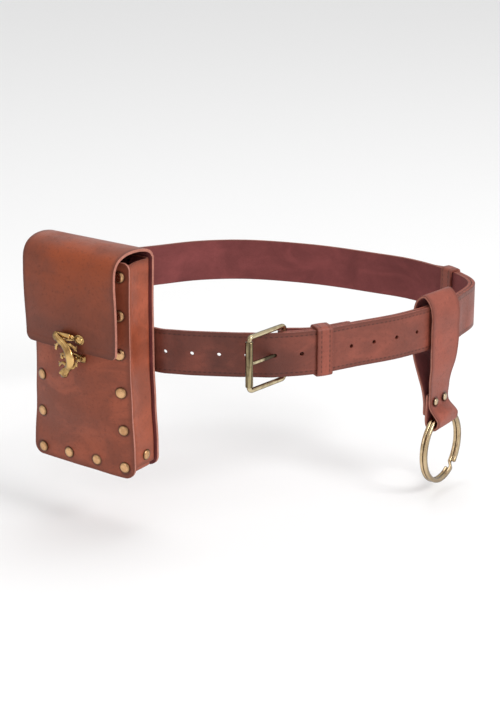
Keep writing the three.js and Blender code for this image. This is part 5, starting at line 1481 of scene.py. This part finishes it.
def stage_pieces(settings):
    """A flat pale floor, three soft lamps, the white surroundings and the camera."""
    scene = bpy.context.scene
    corners = [(x * FLOOR_REACH, y * FLOOR_REACH, FLOOR_UP)
               for x, y in ((-1, -1), (1, -1), (1, 1), (-1, 1))]
    material, _, shader, _ = start_material("pale floor")
    shader.inputs["Base Color"].default_value = (FLOOR_GREY, FLOOR_GREY, FLOOR_GREY, 1)
    shader.inputs["Roughness"].default_value = FLOOR_ROUGH
    mesh = bpy.data.meshes.new("floor")
    mesh.from_pydata(corners, [], [[0, 1, 2, 3]])
    mesh.materials.append(material)
    ground = bpy.data.objects.new("floor", mesh)
    scene.collection.objects.link(ground)

    for name, at, size, setting in LAMPS:
        data = bpy.data.lights.new(name, "AREA")
        data.shape = "DISK"
        data.size = size
        data.energy = getattr(settings, setting)
        lamp = bpy.data.objects.new(name, data)
        lamp.location = at
        lamp.rotation_euler = (-Vector(at)).to_track_quat("-Z", "Y").to_euler()
        scene.collection.objects.link(lamp)

    world = bpy.data.worlds.new("studio")
    world.use_nodes = True
    background = world.node_tree.nodes["Background"]
    background.inputs["Color"].default_value = (1, 1, 1, 1)
    background.inputs["Strength"].default_value = settings.world_light
    scene.world = world
    scene.view_settings.view_transform = "Standard"

    data = bpy.data.cameras.new("camera")
    data.sensor_fit = "HORIZONTAL"
    data.sensor_width = CAMERA_SENSOR
    data.lens = CAMERA_LENS
    data.clip_end = CAMERA_FAR
    camera = bpy.data.objects.new("camera", data)
    camera.location = CAMERA_AT
    camera.rotation_euler = (CAMERA_TILT, 0, 0)
    scene.collection.objects.link(camera)
    scene.camera = camera


# Stock of materials

# Leathers: the dye with its dark, middle and light shares, wear, roughness, whether stitched, and the
# painted light as a dye, its share, two heights and two sides in millimetres
LEATHERS = {
    # Painted shade over the belt's left part, in its last entry
    "belt grain": ("belt_dye", (0.75, 1, 1.7), 0.45, (0.36, 0.5), True, ("belt_dye", 0.3, -60, -40, 10, 62)),
    # Lightened copy of the belt's leather: painted light on the keepers
    "keeper grain": ("belt_dye", (1.1, 1.5, 2.2), 0.35, (0.4, 0.55), True, None),
    # Darkened copy of the pouch's leather: painted shade on the back and flap, with a painted highlight on
    # the flap's upper left
    "pouch grain": ("pouch_dye", (0.62, 0.74, 1.15), 0.35, (0.34, 0.5), False,
                    ("burnish", 1, 10, 92, -120, -70)),
    # Lightened copy of the pouch's leather: painted light on the front
    "pouch front grain": ("pouch_dye", (0.85, 1.1, 2.0), 0.45, (0.36, 0.52), False, None),
    # Lightened copy of the pouch's leather: painted light on the gussets
    "gusset grain": ("pouch_dye", (0.95, 1.3, 2.1), 0.5, (0.36, 0.52), False, None),
    "hanger grain": ("belt_dye", (1.05, 1.35, 2.0), 0.35, (0.38, 0.54), False, None),
}
# Cut edges: the dye with its dark and light shares
EDGES = {"cut edge": ("edge_dye", (1, 1.6)), "dark edge": ("belt_dye", (0.55, 1.5))}
# Brasses: bright, dull and dark colour, roughness, tarnish, bump, and how strong the drawn streaks are
BRASSES = {
    "buckle brass": ((0.62, 0.52, 0.33), (0.24, 0.18, 0.09), (0.025, 0.018, 0.01),
                     (0.16, 0.3), 0.85, 0.06, 0),
    "roller brass": ((0.42, 0.34, 0.19), (0.16, 0.11, 0.055), (0.02, 0.013, 0.008),
                     (0.16, 0.28), 0.6, 0.06, 0.8),
    "ring brass": ((0.68, 0.52, 0.32), (0.36, 0.25, 0.13), (0.04, 0.025, 0.014),
                     (0.14, 0.24), 0.6, 0.02, 0),
    "cast brass": ((0.72, 0.46, 0.18), (0.26, 0.14, 0.05), (0.02, 0.009, 0.005),
                     (0.18, 0.3), 0.9, 0.06, 0),
    "rivet brass": ((0.72, 0.43, 0.22), (0.44, 0.22, 0.1), (0.05, 0.02, 0.01),
                     (0.2, 0.34), 0.7, 0.06, 0),
    "hanger rivet brass": ((0.78, 0.62, 0.42), (0.45, 0.3, 0.16), (0.06, 0.03, 0.015),
                     (0.16, 0.3), 0.5, 0.06, 0),
}
STITCH_DARK = 0.3


def stock(name, settings):
    """A named material, made on first use from the settings."""
    found = bpy.data.materials.get(name)
    if found:
        return found

    def tones(dye, shares):
        """The shades of one of the settings' colours."""
        return [tone(getattr(settings, dye), share) for share in shares]

    groups = {"hide": bpy.data.node_groups.get("hide surface") or leather_group(),
              "metal": bpy.data.node_groups.get("old brass surface") or metal_group()}
    if name in LEATHERS:
        dye, shares, worn, rough, stitched, burnish = LEATHERS[name]
        # The painted light's dye and share made into its colour, the heights and sides kept.
        if burnish:
            burnish = (*tones(burnish[0], burnish[1:2]), *burnish[2:])
        line = (settings.groove_inset / MM, settings.stitch_pitch / MM, STITCH_DARK) if stitched else None
        return leather(name, groups, *tones(dye, shares), burnish, line, worn, rough)
    if name in EDGES:
        dye, shares = EDGES[name]
        return cut_edge(name, *tones(dye, shares))
    if name in BRASSES:
        return brass(name, groups, *BRASSES[name])
    return flesh(name, groups, *tones("flesh_dye", (1, 1.5)))


def sheet_stock(grain, settings, edge="cut edge"):
    """The three materials of a leather sheet: its grain, its flesh and its cut edge."""
    return [stock(grain, settings), stock("flesh side", settings), stock(edge, settings)]


# Add-on

class BeltPouchSettings(bpy.types.PropertyGroup):
    """What can be set before the pieces are built."""

    groove_inset: FloatProperty(name="Groove inset",
                                description="Distance of the stitched groove from the belt's edge",
                                default=0.0032, unit="LENGTH", subtype="DISTANCE")
    stitch_pitch: FloatProperty(name="Stitch pitch", description="Length of one stitch in the groove",
                                default=0.0042, unit="LENGTH", subtype="DISTANCE")
    belt_dye: FloatVectorProperty(name="Belt dye", description="Colour of the belt's grain side", size=3,
                                  default=(0.192, 0.047, 0.029), subtype="COLOR")
    pouch_dye: FloatVectorProperty(name="Pouch dye", description="Colour of the pouch's grain side", size=3,
                                   default=(0.228, 0.052, 0.024), subtype="COLOR")
    # Painted highlight: colour of the patch of painted light on the flap's upper left.
    burnish: FloatVectorProperty(name="Painted light", description="Colour of the flap's painted highlight at its upper left", size=3,
                                 default=(0.33, 0.058, 0.010), subtype="COLOR")
    flesh_dye: FloatVectorProperty(name="Flesh dye", description="Colour of the leather's rough inside",
                                   size=3,
                                   default=(0.150, 0.037, 0.036), subtype="COLOR")
    edge_dye: FloatVectorProperty(name="Edge dye", description="Colour of the leather's cut edges", size=3,
                                  default=(0.27, 0.10, 0.07), subtype="COLOR")
    key_light: FloatProperty(name="Key light", description="Power of the lamp at the right", default=32.0,
                             subtype="POWER", unit="POWER")
    fill_light: FloatProperty(name="Fill light", description="Power of the lamp at the left", default=3.0,
                              subtype="POWER", unit="POWER")
    top_light: FloatProperty(name="Top light", description="Power of the lamp above", default=10.0,
                             subtype="POWER", unit="POWER")
    world_light: FloatProperty(name="World light", description="Strength of the white surroundings",
                               default=0.8)


class BELTPOUCH_OT_belt(bpy.types.Operator):
    """Build the strap with its punched holes and stitched edges"""
    bl_idname = "beltpouch.belt"
    bl_label = "Belt strap"

    def execute(self, context):
        belt_strap_piece(sheet_stock("belt grain", context.scene.belt_pouch, "dark edge"))
        return {"FINISHED"}


class BELTPOUCH_OT_keepers(bpy.types.Operator):
    """Build the two bands that hold the belt's tail"""
    bl_idname = "beltpouch.keepers"
    bl_label = "Keepers"

    def execute(self, context):
        keepers(sheet_stock("keeper grain", context.scene.belt_pouch, "dark edge"))
        return {"FINISHED"}


class BELTPOUCH_OT_buckle(bpy.types.Operator):
    """Build the buckle's frame, roller and prong"""
    bl_idname = "beltpouch.buckle"
    bl_label = "Buckle"

    def execute(self, context):
        settings = context.scene.belt_pouch
        buckle_frame_piece(stock("buckle brass", settings))
        buckle_roller_piece(stock("roller brass", settings))
        buckle_prong_piece(stock("buckle brass", settings))
        return {"FINISHED"}


class BELTPOUCH_OT_pouch(bpy.types.Operator):
    """Build the pouch's panels, gussets and belt loop"""
    bl_idname = "beltpouch.pouch"
    bl_label = "Pouch leather"

    def execute(self, context):
        settings = context.scene.belt_pouch
        front_panel_piece(sheet_stock("pouch front grain", settings))
        back_and_flap_piece(sheet_stock("pouch grain", settings))
        gusset_sides(sheet_stock("gusset grain", settings))
        gusset_bottom_piece(sheet_stock("gusset grain", settings))
        belt_loop_piece(sheet_stock("pouch front grain", settings))
        return {"FINISHED"}


class BELTPOUCH_OT_rivets(bpy.types.Operator):
    """Build the pouch's rivets"""
    bl_idname = "beltpouch.rivets"
    bl_label = "Pouch rivets"

    def execute(self, context):
        pouch_rivets(stock("rivet brass", context.scene.belt_pouch))
        return {"FINISHED"}


class BELTPOUCH_OT_clasp(bpy.types.Operator):
    """Build the swing clasp: crossbar, axle, lizard and catch"""
    bl_idname = "beltpouch.clasp"
    bl_label = "Clasp"

    def execute(self, context):
        metal = stock("cast brass", context.scene.belt_pouch)
        for make in (lizard_piece, crossbar_piece, axle_piece, catch_piece):
            make(metal)
        return {"FINISHED"}


class BELTPOUCH_OT_hanger(bpy.types.Operator):
    """Build the hanger strap and its rivets"""
    bl_idname = "beltpouch.hanger"
    bl_label = "Hanger"

    def execute(self, context):
        settings = context.scene.belt_pouch
        hanger_piece(sheet_stock("hanger grain", settings))
        hanger_rivets(stock("hanger rivet brass", settings))
        return {"FINISHED"}


class BELTPOUCH_OT_ring(bpy.types.Operator):
    """Build the split ring"""
    bl_idname = "beltpouch.ring"
    bl_label = "Ring"

    def execute(self, context):
        ring_piece(stock("ring brass", context.scene.belt_pouch))
        return {"FINISHED"}


class BELTPOUCH_OT_stage(bpy.types.Operator):
    """Build the pale floor, the lamps and the camera"""
    bl_idname = "beltpouch.stage"
    bl_label = "Stage"

    def execute(self, context):
        stage_pieces(context.scene.belt_pouch)
        return {"FINISHED"}


class BELTPOUCH_PT_panel(bpy.types.Panel):
    """Lists the pieces' operators and their settings"""
    bl_label = "Belt and pouch"
    bl_idname = "BELTPOUCH_PT_panel"
    bl_space_type = "VIEW_3D"
    bl_region_type = "UI"
    bl_category = "Belt and pouch"

    def draw(self, context):
        settings = context.scene.belt_pouch
        for key in BeltPouchSettings.__annotations__:
            self.layout.prop(settings, key)
        for operator in OPERATORS:
            self.layout.operator(operator.bl_idname)


OPERATORS = (BELTPOUCH_OT_belt, BELTPOUCH_OT_keepers, BELTPOUCH_OT_buckle, BELTPOUCH_OT_pouch,
             BELTPOUCH_OT_rivets,
             BELTPOUCH_OT_clasp, BELTPOUCH_OT_hanger, BELTPOUCH_OT_ring, BELTPOUCH_OT_stage)
CLASSES = (BeltPouchSettings, *OPERATORS, BELTPOUCH_PT_panel)


def register():
    """Makes the classes and the settings known."""
    for cls in CLASSES:
        bpy.utils.register_class(cls)
    bpy.types.Scene.belt_pouch = PointerProperty(type=BeltPouchSettings)


def unregister():
    """Takes the settings and the classes away again."""
    del bpy.types.Scene.belt_pouch
    for cls in reversed(CLASSES):
        bpy.utils.unregister_class(cls)


def main():
    """Builds every piece and the stage."""
    register()
    bpy.ops.beltpouch.belt()
    bpy.ops.beltpouch.keepers()
    bpy.ops.beltpouch.buckle()
    bpy.ops.beltpouch.pouch()
    bpy.ops.beltpouch.rivets()
    bpy.ops.beltpouch.clasp()
    bpy.ops.beltpouch.hanger()
    bpy.ops.beltpouch.ring()
    bpy.ops.beltpouch.stage()


if __name__ == "__main__":
    main()
